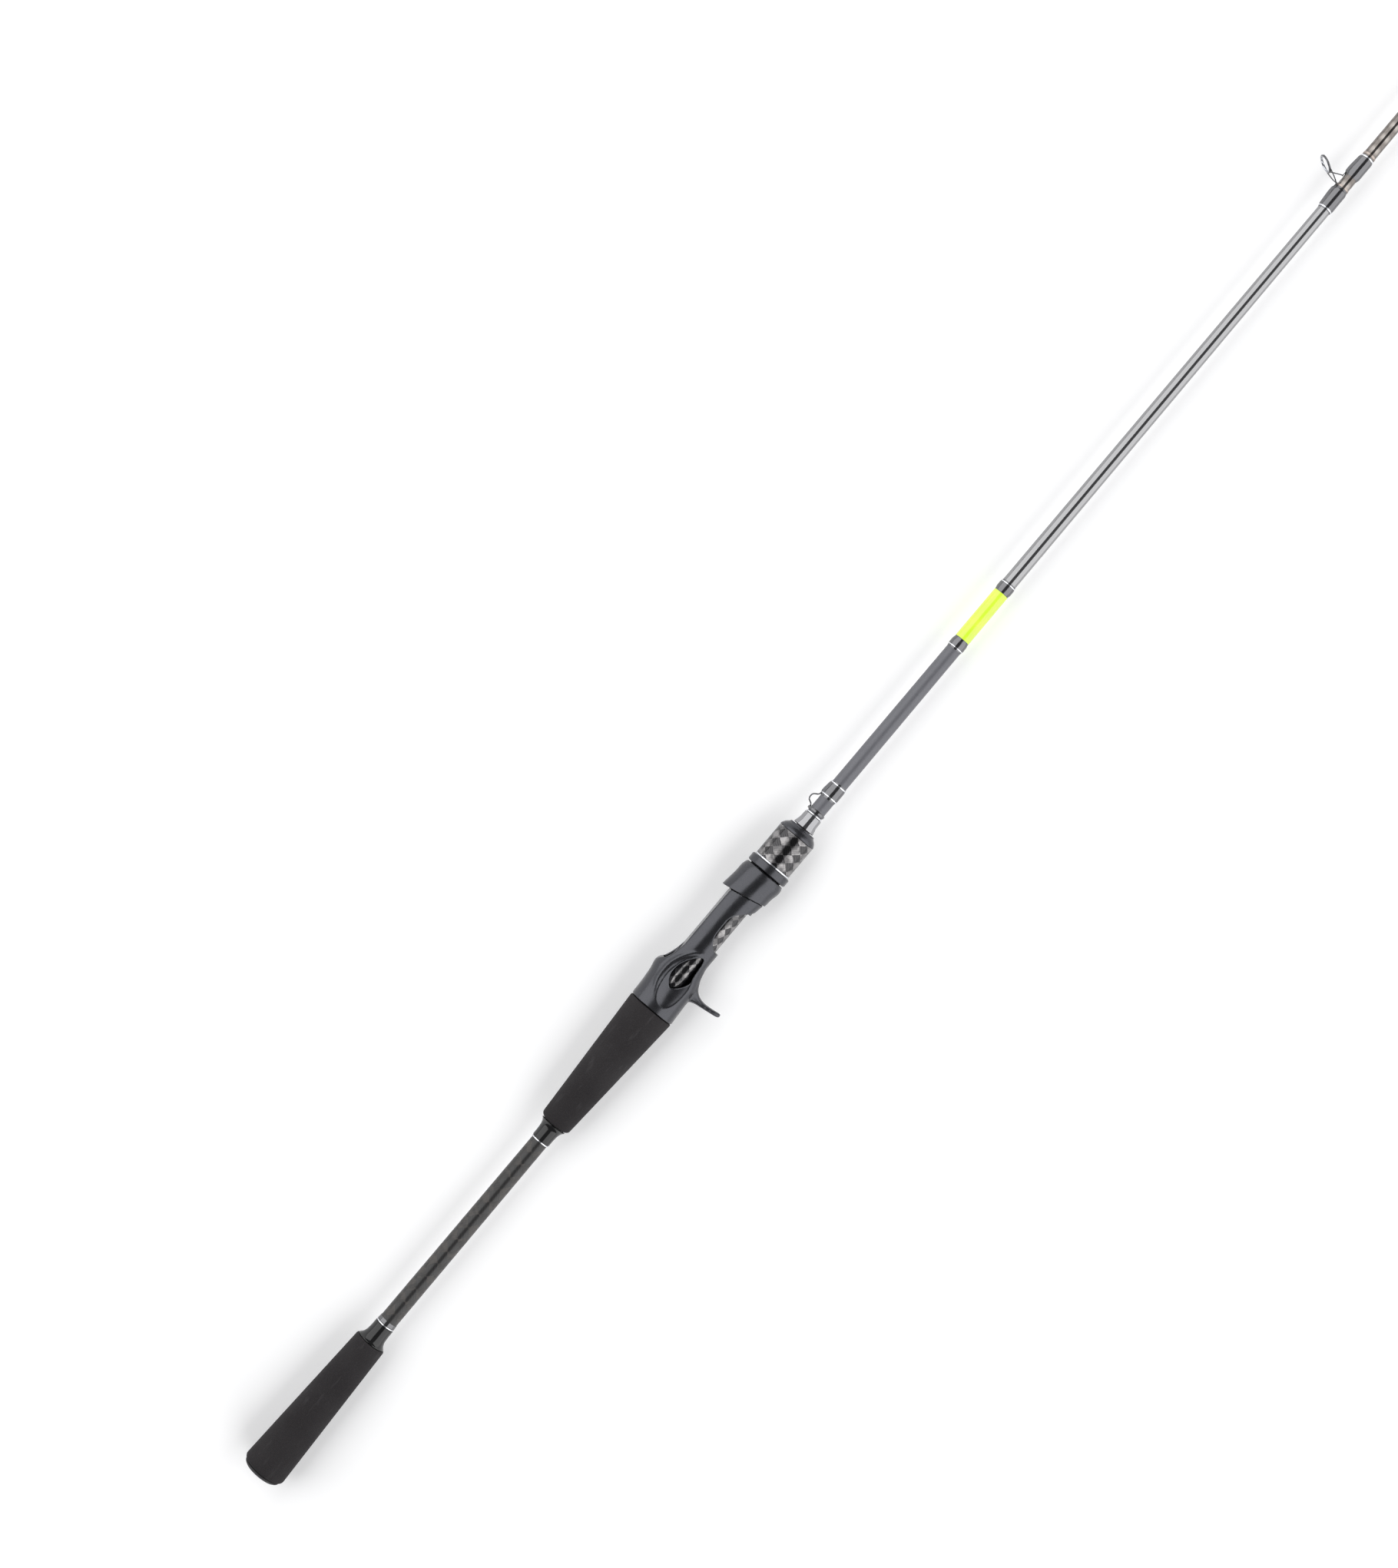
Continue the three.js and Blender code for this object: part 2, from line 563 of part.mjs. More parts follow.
// The arched opening under the reel foot, right through from side to side.
function undersideWindow() {
  const end = WINDOW_START + WINDOW_LENGTH;
  const shape = new THREE.Shape();
  shape.moveTo(inSeat(WINDOW_START), -30);
  shape.lineTo(inSeat(WINDOW_START), -6.9);
  shape.bezierCurveTo(
    inSeat(WINDOW_START + 2), -2, inSeat(WINDOW_START + 6), 0, inSeat(WINDOW_START + 12), 0,
  );
  shape.lineTo(inSeat(end - 11), 0);
  shape.bezierCurveTo(inSeat(end - 6), -0.4, inSeat(end - 2.5), -3, inSeat(end), -7.2);
  shape.lineTo(inSeat(end), -30);
  return sidePlate(shape, 30, 5);
}

// A shallow thumb scoop in each flank, round the almond window.
function thumbScoops() {
  return [1, -1].map((side) => {
    const ball = new THREE.SphereGeometry(1, 20, 12);
    ball.scale(24, 15, 11);
    ball.translate(inSeat(25), -3, side * 20.5);
    return toSolid(ball);
  }).reduce((whole, scoop) => whole.add(scoop));
}

function trigger() {
  const root = -8.5;
  const side = new THREE.Shape();
  side.moveTo(inSeat(TRIGGER_X - 5), root);
  side.lineTo(inSeat(TRIGGER_X - 4.2), -12.6);
  side.quadraticCurveTo(inSeat(TRIGGER_X - 2.6), -15.4, inSeat(TRIGGER_X - 1.7), -20.9);
  side.lineTo(inSeat(TRIGGER_X + 0.2), -TRIGGER_REACH + 1.4);
  side.quadraticCurveTo(
    inSeat(TRIGGER_X + 1.1), -TRIGGER_REACH - 0.4, inSeat(TRIGGER_X + 3), -TRIGGER_REACH + 2,
  );
  side.lineTo(inSeat(TRIGGER_X + 2.2), -27.5);
  side.quadraticCurveTo(inSeat(TRIGGER_X + 1.1), -19, inSeat(TRIGGER_X + 5.2), -14.2);
  side.quadraticCurveTo(inSeat(TRIGGER_X + 9), -11, inSeat(TRIGGER_X + 18), -9.6);
  side.lineTo(inSeat(TRIGGER_X + 18), root);
  const front = new THREE.Shape();
  front.moveTo(-TRIGGER_HALF_WIDTH - 2, root);
  front.quadraticCurveTo(-TRIGGER_HALF_WIDTH, -16, -TRIGGER_TIP_HALF_WIDTH - 0.8, -TRIGGER_REACH + 3);
  front.quadraticCurveTo(0, -TRIGGER_REACH - 3.4, TRIGGER_TIP_HALF_WIDTH + 0.8, -TRIGGER_REACH + 3);
  front.quadraticCurveTo(TRIGGER_HALF_WIDTH, -16, TRIGGER_HALF_WIDTH + 2, root);
  const width = new THREE.ExtrudeGeometry(front, { depth: 60, bevelEnabled: false, curveSegments: 5 });
  width.rotateY(Math.PI / 2);
  width.translate(inSeat(TRIGGER_X - 20), 0, 0);
  return sidePlate(side, TRIGGER_HALF_WIDTH + 4, 5).intersect(toSolid(width));
}

function barrel() {
  const core = toSolid(turned([
    [inSeat(SHOULDER_X - 8), 0],
    [inSeat(SHOULDER_X - 8), barrelRoot],
    [barrelEnd, barrelRoot],
    [barrelEnd, 0],
  ], HANDLE_FACETS));
  const plain = toSolid(turned([
    [inSeat(SHOULDER_X - 8), 0],
    [inSeat(SHOULDER_X - 8), barrelCrest],
    [inSeat(BARREL_THREAD_START), barrelCrest],
    [inSeat(BARREL_THREAD_START), 0],
  ], HANDLE_FACETS));
  const length = barrelEnd - inSeat(BARREL_THREAD_START) - 2 * THREAD_ROOT_WIDTH;
  const ridge = threadRidge(
    ridgeStart, length,
    barrelRoot - 0.5, barrelCrest, THREAD_ROOT_WIDTH, THREAD_CREST_WIDTH,
  );
  const keyway = block(
    inSeat(SHOULDER_X - 6), barrelEnd + 1,
    -barrelCrest - 1, -barrelCrest + KEYWAY_DEPTH, KEY_HALF_WIDTH + 0.3,
  );
  return core.add(plain).add(ridge).subtract(keyway);
}

function seatBore() {
  return toSolid(turned([
    [inSeat(-5), 0],
    [inSeat(-5), SEAT_BORE_RADIUS],
    [barrelEnd + 5, SEAT_BORE_RADIUS],
    [barrelEnd + 5, 0],
  ], HANDLE_FACETS));
}

const rearPocket = block(
  inSeat(REAR_POCKET_END), inSeat(DECK_START),
  deckHeight - POCKET_STEP, deckHeight + POCKET_HEIGHT - POCKET_STEP, POCKET_HALF_WIDTH,
);

const seatBody = seatShell()
  .subtract(thumbScoops())
  .add(trigger())
  .subtract(aheadOfSlant(shoulder))
  .subtract(deckCut())
  .subtract(rearPocket)
  .subtract(flankWindow())
  .subtract(undersideWindow())
  .add(barrel())
  .subtract(seatBore());
addPiece('reel_seat_body', toGeometry(seatBody), seatGrey);

const seatSleeveRadius = SEAT_BORE_RADIUS - GLUE_GAP;
const seatSleeveBore = seatSleeveRadius - SEAT_SLEEVE_WALL;
addPiece('seat_carbon_sleeve', sleeve(
  inSeat(END_GAP), inSeat(END_GAP + SEAT_SLEEVE_LENGTH),
  [seatSleeveRadius, seatSleeveRadius], [seatSleeveBore, seatSleeveBore], HANDLE_FACETS,
), carbonWeave);

// Foam bushings that centre the blank in the seat.
function arbor(name, x0, outer) {
  const bore = blankRadius(x0) + GLUE_GAP;
  addPiece(name, sleeve(x0, x0 + ARBOR_LENGTH, [outer, outer], [bore, bore], HANDLE_FACETS), arborFoam);
}

arbor('seat_arbor_rear', inSeat(2), seatSleeveBore - GLUE_GAP);
arbor('seat_arbor_front', barrelEnd - ARBOR_LENGTH - 1, seatSleeveRadius);

// ---------------------------------------------------------------- moving hood and lock nut

const hoodBore = barrelCrest + SLIDE_GAP;
const hoodLipStart = hoodFront - HOOD_LIP_LENGTH;
const hoodGrooveStart = hoodLipStart - HOOD_GROOVE_LENGTH;
const nutLocks = nutFlange + END_GAP;

const hoodSkin = (inset) => toSolid(loft([
  [shoulder - 8, hoodMouthTop + 0.2 - inset, -hoodMouthDrop + 0.2 + inset, hoodRadius - 1.2 - inset],
  [shoulder - 1, hoodMouthTop - 0.35 - inset, -hoodMouthDrop + inset, hoodRadius - 0.7 - inset],
  [shoulder + 7, hoodMouthTop - 1.3 - inset, -hoodRadius + 0.7 + inset, hoodRadius - 0.2 - inset],
  [hoodFront - 1, hoodRadius - inset, -hoodRadius + inset, hoodRadius - inset],
  [hoodFront, hoodRadius - 0.5 - inset, -hoodRadius + 0.5 + inset, hoodRadius - 0.5 - inset],
], 2.05, 28));

function movingHood() {
  const inside = toSolid(turned([
    [shoulder - 20, 0],
    [shoulder - 20, hoodBore],
    [hoodGrooveStart, hoodBore],
    [hoodGrooveStart, nutLocks],
    [hoodLipStart, nutLocks],
    [hoodLipStart, nutNeck + END_GAP],
    [hoodFront + 5, nutNeck + END_GAP],
    [hoodFront + 5, 0],
  ], HANDLE_FACETS));
  const pocket = new THREE.Shape();
  const ceiling = deckHeight + POCKET_HEIGHT - POCKET_STEP;
  pocket.moveTo(shoulder - 20, 4);
  pocket.lineTo(shoulder - 20, ceiling);
  pocket.lineTo(shoulder + 2.6, ceiling);
  pocket.lineTo(shoulder + 8.5, ceiling - 2.4);
  pocket.lineTo(shoulder + 8.5, 4);
  const key = block(
    shoulder + 3, shoulder + 3 + KEY_LENGTH,
    -hoodBore - 0.8, -barrelCrest + KEYWAY_DEPTH - SLIDE_GAP, KEY_HALF_WIDTH,
  );
  return hoodSkin(0)
    .intersect(aheadOfSlant(shoulder + END_GAP))
    .subtract(inside)
    .subtract(sidePlate(pocket, POCKET_HALF_WIDTH).intersect(hoodSkin(HOOD_WALL)))
    .add(key);
}

addPiece('moving_hood', toGeometry(movingHood()), seatGrey);

const nutThreadRoot = barrelCrest + END_GAP;
const nutThreadCrest = barrelRoot + 0.25;

function threadedNut() {
  const flangeStart = hoodGrooveStart + 0.25;
  const flangeEnd = hoodLipStart - 0.3;
  const shell = toSolid(turned([
    [flangeStart, nutFlange],
    [flangeEnd, nutFlange],
    [flangeEnd, nutNeck],
    [nutStart, nutNeck],
    [nutStart, nutCore],
    [nutCapStart - GLUE_GAP, nutCore],
    [nutCapStart - GLUE_GAP, nutThreadRoot],
    [flangeStart, nutThreadRoot],
  ], HANDLE_FACETS));
  // Half a pitch off the barrel's ridge, so that the two threads mesh.
  const turnsAhead = Math.ceil((nutStart + NUT_THREAD_INSET - ridgeStart) / THREAD_PITCH) + 0.5;
  const ridge = threadRidge(
    ridgeStart + turnsAhead * THREAD_PITCH, NUT_THREAD_LENGTH,
    nutThreadRoot + 0.5, nutThreadCrest, THREAD_ROOT_WIDTH, NUT_CREST_WIDTH,
  );
  return shell.add(ridge);
}

addPiece('nut_core', toGeometry(threadedNut()), seatGrey);

const onNutCore = nutCore + GLUE_GAP;
addPiece('nut_collar', turned([
  [nutStart, nutCollar - 0.6],
  [nutStart + 0.6, nutCollar],
  [nutStart + NUT_COLLAR_LENGTH - 0.6, nutCollar],
  [nutStart + NUT_COLLAR_LENGTH, nutCollar - 0.5],
  [nutStart + NUT_COLLAR_LENGTH, onNutCore],
  [nutStart, onNutCore],
], HANDLE_FACETS), seatGrey);

addPiece('nut_trim_ring', sleeve(
  nutTrimStart, nutTrimStart + NUT_TRIM_LENGTH,
  [nutSleeve + 0.25, nutSleeve + 0.25], [onNutCore, onNutCore], HANDLE_FACETS,
), silver);

addPiece('nut_carbon_sleeve', sleeve(
  nutSleeveStart, nutSleeveStart + NUT_SLEEVE_LENGTH,
  [nutSleeve, nutSleeve], [onNutCore, onNutCore], HANDLE_FACETS,
), carbonWeave);

addPiece('nut_end_cap', turned([
  [nutCapStart, nutSleeve + 0.2],
  [nutCapStart + 1.2, nutSleeve],
  [nutCapStart + 3.4, nutSleeve - 1.4],
  [nutCapStart + 4.9, nutCapNose + 0.3],
  [nutEnd, nutCapNose],
  [nutEnd, nutCapBore],
  [nutEnd - NUT_CAP_LIP, nutCapBore],
  [nutEnd - NUT_CAP_LIP, nutThreadRoot - 0.2],
  [nutCapStart, nutThreadRoot - 0.2],
], HANDLE_FACETS), seatGrey);

// ---------------------------------------------------------------- ahead of the seat

const frontBore = BLANK_RADIUS_SEAT + GLUE_GAP;
addPiece('front_winding_check', turned([
  [frontCheckStart, frontCheckRadius],
  [frontCheckStart + FRONT_CHECK_LENGTH * 0.5, frontCheckNeck + 0.15],
  [frontCheckEnd, frontCheckNeck],
  [frontCheckEnd, frontBore],
  [frontCheckStart, frontBore],
], HANDLE_FACETS), glossBlack);
trimRing('front_check_ring', frontCheckEnd + END_GAP, BLANK_RADIUS_SEAT, 0.6, BLANK_FACETS);

// A bound and varnished wrap on the rod: thin edges, full over the middle.
function wrapSolid(x0, x1, edge, full) {
  const on = (x) => surfaceRadius(x) + GLUE_GAP;
  const shoulderLength = Math.min(2, (x1 - x0) / 3);
  return toSolid(turned([
    [x0, on(x0) + edge],
    [x0 + shoulderLength, on(x0) + full],
    [x1 - shoulderLength, on(x1) + full],
    [x1, on(x1) + edge],
    [x1, on(x1)],
    [x0, on(x0)],
  ], BLANK_FACETS));
}

const wireHeight = BLANK_RADIUS_SEAT + GLUE_GAP + WRAP_GAP + KEEPER_WIRE_RADIUS;

// The hook keeper is one bent wire: its two feet lie under the wraps and its loop stands between.
function keeperWire(radius) {
  const foot = 2.2;
  const at = (x, y) => new THREE.Vector3(x, y, 0);
  const curve = new THREE.CatmullRomCurve3([
    at(keeperRearEnd - foot, wireHeight),
    at(keeperRearEnd + 0.4, wireHeight),
    at(keeperRearEnd + 2.1, wireHeight + KEEPER_HEIGHT - 0.5),
    at(keeperRearEnd + 3.1, wireHeight + KEEPER_HEIGHT),
    at(keeperRearEnd + 5.2, wireHeight + KEEPER_HEIGHT),
    at(keeperRearEnd + 6.2, wireHeight + KEEPER_HEIGHT - 0.6),
    at(keeperFrontStart - 0.3, wireHeight),
    at(keeperFrontStart + 2 * foot, wireHeight),
  ], false, 'centripetal');
  return wire(curve, radius, 16, 6);
}

function keeperWrap(name, x0, x1) {
  const cover = block(x0, x1, BLANK_RADIUS_SEAT, wireHeight + KEEPER_WIRE_RADIUS + 0.4, 0.9);
  const bore = toSolid(sleeve(x0 - 1, x1 + 1, [frontBore, frontBore], [0.1, 0.1], BLANK_FACETS));
  const wrap = wrapSolid(x0, x1, WRAP_EDGE, 0.7)
    .add(cover)
    .subtract(keeperWire(KEEPER_WIRE_RADIUS + WRAP_GAP))
    .subtract(bore);
  addPiece(name, toGeometry(wrap), wrapBlack);
}

addPiece('hook_keeper', toGeometry(keeperWire(KEEPER_WIRE_RADIUS)), gunmetal);
keeperWrap('keeper_rear_wrap', keeperRearStart, keeperRearEnd);
keeperWrap('keeper_front_wrap', keeperFrontStart, keeperFrontEnd);

const trimWrap = (x0) => toGeometry(wrapSolid(x0, x0 + TRIM_WRAP_LENGTH, WRAP_EDGE, TRIM_WRAP_THICKNESS));
addPiece('band_rear_wrap', trimWrap(bandRearWrapStart), wrapBlack);
addPiece('band_front_wrap', trimWrap(bandFrontWrapEnd - TRIM_WRAP_LENGTH), wrapBlack);
addPiece('colour_band', sleeve(
  bandStart, bandEnd,
  [surfaceRadius(bandStart), surfaceRadius(bandEnd)].map((r) => r + GLUE_GAP / 2 + BAND_THICKNESS),
  [surfaceRadius(bandStart), surfaceRadius(bandEnd)].map((r) => r + GLUE_GAP / 2),
  BLANK_FACETS,
), neon);

addPiece('ferrule_wrap', toGeometry(wrapSolid(
  ferruleStart + 1, ferruleStart + 19, WRAP_EDGE, TRIM_WRAP_THICKNESS,
)), wrapBlack);

// ---------------------------------------------------------------- guides

// Guides come down from the stripper's size to running size along the rod.
const guideSize = (index, stripper, running) => running + (stripper - running) * GUIDE_SHRINK ** index;

// Places of all the guides: the gaps grow from the tip back to the stripper.
function guidePlaces() {
  const gaps = RUNNING_GUIDES + 1;
  const span = ROD_LENGTH - stripperX;
  const first = (span * (GUIDE_SPACING_GROWTH - 1)) / (GUIDE_SPACING_GROWTH ** gaps - 1);
  const places = [];
  let x = ROD_LENGTH;
  for (let i = 0; i < gaps; i += 1) {
    x -= first * GUIDE_SPACING_GROWTH ** i;
    places.unshift(x);
  }
  return places;
}

const tilt = THREE.MathUtils.degToRad(GUIDE_TILT);
const ringLean = new THREE.Vector3(Math.sin(tilt), Math.cos(tilt), 0);

// A ring or its holder, turned about its own axis and leant towards the tip.
function leaning(outline, centre) {
  const geometry = turned(outline, GUIDE_FACETS);
  geometry.rotateZ(-tilt);
  geometry.translate(centre.x, centre.y, 0);
  return geometry;
}

function ringInsert(centre, radius) {
  const half = RING_WIDTH / 2;
  return leaning([
    [-half, radius - 0.3],
    [half, radius - 0.3],
    [half, radius - RING_THICKNESS + 0.25],
    [0, radius - RING_THICKNESS],
    [-half, radius - RING_THICKNESS + 0.25],
  ], centre);
}

function ringHolder(centre, radius) {
  const half = RING_WIDTH / 2 - 0.15;
  const bore = radius - 0.3 + GLUE_GAP;
  return toSolid(leaning([
    [-half, bore + FRAME_THICKNESS],
    [half, bore + FRAME_THICKNESS],
    [half, bore],
    [-half, bore],
  ], centre));
}

// One strut from the middle of a foot to the holder, at an angle round the ring from its lowest point.
function strut(centre, radius, from, side, swing) {
  const middle = radius - 0.15 + FRAME_THICKNESS / 2;
  const end = centre.clone()
    .addScaledVector(ringLean, -middle * Math.cos(swing))
    .add(new THREE.Vector3(0, 0, side * middle * Math.sin(swing)));
  const bend = new THREE.Vector3(
    THREE.MathUtils.lerp(from.x, end.x, 0.35), THREE.MathUtils.lerp(from.y, end.y, 0.35), end.z * 0.8,
  );
  return wire(new THREE.QuadraticBezierCurve3(from, bend, end), FRAME_THICKNESS * 0.75, 3, 5);
}

// A flat foot on top of the rod, from its tip at x0 to its inner end at x1.
function foot(x0, x1, grow) {
  const low = Math.max(surfaceRadius(x0), surfaceRadius(x1)) + 2 * GLUE_GAP;
  return block(
    Math.min(x0, x1) - grow, Math.max(x0, x1) + grow, low - grow, low + FOOT_THICKNESS + grow,
    Math.min(FOOT_HALF_WIDTH, surfaceRadius(x1) * 0.55) + grow,
  );
}

function guideWrap(name, tipX, innerX, solidFoot) {
  const forward = Math.sign(innerX - tipX);
  const x0 = Math.min(tipX - forward * WRAP_OVERHANG, innerX);
  const x1 = Math.max(tipX - forward * WRAP_OVERHANG, innerX);
  const wrap = wrapSolid(x0, x1, WRAP_EDGE, WRAP_THICKNESS).subtract(solidFoot);
  addPiece(name, toGeometry(wrap), wrapBlack);
}

function guide(number, x, ringRadius, rise, footLength, spread) {
  const name = number === 1 ? 'stripper_guide' : `running_guide_${number - 1}`;
  const surface = surfaceRadius(x);
  const centre = new THREE.Vector3(x, surface + rise, 0);
  const rootX = centre.x - (rise - ringRadius) * Math.tan(tilt) - ringRadius * Math.sin(tilt) * 0.4;
  const rearRoot = new THREE.Vector3(rootX, surface + 2 * GLUE_GAP + FOOT_THICKNESS * 0.6, 0);
  let frame = ringHolder(centre, ringRadius)
    .add(foot(rootX - footLength, rootX + 0.6, 0))
    .add(strut(centre, ringRadius, rearRoot, 1, 0.95))
    .add(strut(centre, ringRadius, rearRoot, -1, 0.95));
  const wrapGap = WRAP_GAP;
  if (spread) {
    const frontX = rootX + spread;
    const frontRoot = new THREE.Vector3(frontX, rearRoot.y, 0);
    frame = frame
      .add(foot(frontX + footLength, frontX - 0.6, 0))
      .add(strut(centre, ringRadius, frontRoot, 1, 0.25));
    guideWrap(`${name}_front_wrap`, frontX + footLength, frontX + 1.4,
      foot(frontX + footLength, frontX, wrapGap));
  }
  addPiece(`${name}_frame`, toGeometry(frame), gunmetal);
  addPiece(`${name}_ring`, ringInsert(centre, ringRadius), ringCeramic);
  guideWrap(`${name}_wrap`, rootX - footLength, rootX - 1, foot(rootX - footLength, rootX, wrapGap));
}

guidePlaces().forEach((x, index) => guide(
  index + 1,
  x,
  guideSize(index, STRIPPER_RING_RADIUS, RUNNING_RING_RADIUS),
  guideSize(index, STRIPPER_RISE, RUNNING_RISE),
  guideSize(index, STRIPPER_FOOT_LENGTH, RUNNING_FOOT_LENGTH),
  index === 0 ? STRIPPER_FOOT_SPREAD : 0,
));

// The tip top is a tube pushed over the end of the blank, with its ring held up by two struts.
function tipTop() {
  const tubeStart = ROD_LENGTH - TIP_TUBE_LENGTH + 1;
  const tubeEnd = ROD_LENGTH + 1;
  const bore = surfaceRadius(tubeStart) + GLUE_GAP;
  const tube = toSolid(turned([
    [tubeStart, bore + TIP_TUBE_WALL],
    [tubeEnd, bore + TIP_TUBE_WALL],
    [tubeEnd, 0],
    [ROD_LENGTH + END_GAP, 0],
    [ROD_LENGTH + END_GAP, bore],
    [tubeStart, bore],
  ], GUIDE_FACETS));
  const centre = new THREE.Vector3(ROD_LENGTH + 1, TIP_RISE, 0);
  const root = new THREE.Vector3(ROD_LENGTH - 5, bore + TIP_TUBE_WALL - 0.1, 0);
  const frame = tube
    .add(ringHolder(centre, TIP_RING_RADIUS))
    .add(strut(centre, TIP_RING_RADIUS, root, 1, 1.2))
    .add(strut(centre, TIP_RING_RADIUS, root, -1, 1.2));
  addPiece('tip_top', toGeometry(frame), gunmetal);
  addPiece('tip_top_ring', ringInsert(centre, TIP_RING_RADIUS), ringCeramic);
}

tipTop();

export default rod;
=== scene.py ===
"""Casting rod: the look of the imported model, in metres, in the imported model's own frame.

+X runs along the rod to its tip, +Y is the side of the reel seat's deck and the guides, and the
rod lies on its side on a pale floor. Round pieces are turned again from the outlines of their
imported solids, and moulded, wound and wire pieces are built finer around the same sizes.
"""

import json
import math

import bmesh
import bpy
import numpy as np
from mathutils import Matrix, Vector


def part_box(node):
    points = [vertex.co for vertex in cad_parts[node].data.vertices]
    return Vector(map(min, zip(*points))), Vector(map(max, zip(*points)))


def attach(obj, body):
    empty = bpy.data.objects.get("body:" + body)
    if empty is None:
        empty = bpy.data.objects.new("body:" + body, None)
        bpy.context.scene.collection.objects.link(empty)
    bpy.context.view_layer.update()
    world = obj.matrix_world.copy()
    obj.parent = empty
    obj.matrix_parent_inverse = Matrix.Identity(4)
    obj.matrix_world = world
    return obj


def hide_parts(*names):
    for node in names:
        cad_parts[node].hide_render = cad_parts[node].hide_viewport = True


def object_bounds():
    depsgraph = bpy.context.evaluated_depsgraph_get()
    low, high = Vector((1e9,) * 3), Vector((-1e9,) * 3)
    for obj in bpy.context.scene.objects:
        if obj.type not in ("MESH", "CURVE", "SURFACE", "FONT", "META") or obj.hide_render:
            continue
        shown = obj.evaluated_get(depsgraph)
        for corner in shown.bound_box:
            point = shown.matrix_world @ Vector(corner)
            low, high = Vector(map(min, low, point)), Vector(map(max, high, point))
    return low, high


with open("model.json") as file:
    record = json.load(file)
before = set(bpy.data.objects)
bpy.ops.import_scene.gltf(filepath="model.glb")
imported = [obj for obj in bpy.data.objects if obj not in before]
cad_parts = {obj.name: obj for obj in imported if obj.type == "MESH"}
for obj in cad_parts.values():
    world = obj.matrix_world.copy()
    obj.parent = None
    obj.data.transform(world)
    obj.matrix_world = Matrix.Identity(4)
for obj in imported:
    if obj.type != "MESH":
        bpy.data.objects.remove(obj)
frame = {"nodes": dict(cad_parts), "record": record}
cad_lo, cad_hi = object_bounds()

MM = 0.001
NODES = frame["nodes"]
BODY_OF = {n: body for body, names in frame["record"]["behaviour"]["bodies"].items() for n in names}
SLOT_OF = {s["node"]: s["material_slot"] for s in frame["record"]["subparts"]}


# ------------------------------------------------------------------ camera, light and floor

VIEW_DISTANCE = 1.64  # from the rod to the lens
VIEW_HEIGHT = 0.9185  # what the frame's long side covers at the rod
ROD_SLOPE = math.radians(49.89)  # the rod climbs to the upper right
ROD_ROLL = math.radians(3.0)  # the rod is seen a little from the guides' side
AIM_X, AIM_SIDE = 0.4745, 0.0634  # frame centre: along the rod, and beside it
STRIP_LENGTH, STRIP_MIDDLE_X = 3.4, 0.75
STRIP_DISTANCE, STRIP_RADIANCE = 1.3, 1.75
WORLD_STRENGTH = 0.16
FLOOR_REACH = 14.0
FLOOR_DROP = 0.2 * MM  # below the lowest piece
FLOOR_GLOW = 0.12  # towards white, for camera and mirror rays only


def add_camera():
    along = Vector((1, 0, 0))
    side = Vector((0, math.cos(ROD_ROLL), -math.sin(ROD_ROLL)))
    back = along.cross(side)
    right = along * math.cos(ROD_SLOPE) - side * math.sin(ROD_SLOPE)
    up = along * math.sin(ROD_SLOPE) + side * math.cos(ROD_SLOPE)
    data = bpy.data.cameras.new("camera")
    data.sensor_width = 36
    data.lens = data.sensor_width * VIEW_DISTANCE / VIEW_HEIGHT
    data.clip_start = 0.01
    camera = bpy.data.objects.new("camera", data)
    place = along * AIM_X + side * AIM_SIDE + back * VIEW_DISTANCE
    camera.matrix_world = Matrix.Translation(place) @ Matrix((right, up, back)).transposed().to_4x4()
    bpy.context.scene.collection.objects.link(camera)
    bpy.context.scene.camera = camera


def add_strip_light(name, angle, width):
    """A softbox along the rod, its middle this far over from straight up, towards +Y."""
    data = bpy.data.lights.new(name, "AREA")
    data.shape = "RECTANGLE"
    data.size, data.size_y = STRIP_LENGTH, width
    data.energy = STRIP_RADIANCE * math.pi * STRIP_LENGTH * width
    lamp = bpy.data.objects.new(name, data)
    turn = Matrix.Rotation(-angle, 4, "X")
    middle = Matrix.Translation((STRIP_MIDDLE_X, 0, 0))
    lamp.matrix_world = middle @ turn @ Matrix.Translation((0, 0, STRIP_DISTANCE))
    lamp.visible_camera = False
    bpy.context.scene.collection.objects.link(lamp)


def add_stage():
    scene = bpy.context.scene
    scene.view_settings.view_transform = "Standard"
    world = bpy.data.worlds.new("studio")
    scene.world = world
    world.use_nodes = True
    world.node_tree.nodes["Background"].inputs["Color"].default_value = (0.97, 0.98, 1, 1)
    world.node_tree.nodes["Background"].inputs["Strength"].default_value = WORLD_STRENGTH
    add_strip_light("strip_guides", math.radians(52), 1.75)
    add_strip_light("strip_trigger", math.radians(-57), 1.7)
    mesh = bpy.data.meshes.new("floor")
    reach, low = FLOOR_REACH, cad_lo.z - FLOOR_DROP
    corners = [(-reach, -reach, low), (reach, -reach, low), (reach, reach, low), (-reach, reach, low)]
    mesh.from_pydata(corners, [], [(0, 1, 2, 3)])
    floor = bpy.data.objects.new("floor", mesh)
    scene.collection.objects.link(floor)
    look = Look("floor_paper", (0.93, 0.93, 0.935), 0.9)
    path = look.node("LightPath", {}).outputs
    seen = look.math("ADD", path["Is Camera Ray"], path["Is Glossy Ray"])
    seen = look.math("ADD", seen, path["Is Transmission Ray"])
    look.set("Emission Color", (1, 1, 1, 1))
    look.link(look.math("MULTIPLY", seen, FLOOR_GLOW), "Emission Strength")
    look.bump(look.noise(900, 2), 0.02, 0.0002)
    mesh.materials.append(look.material)


# ------------------------------------------------------------------ materials

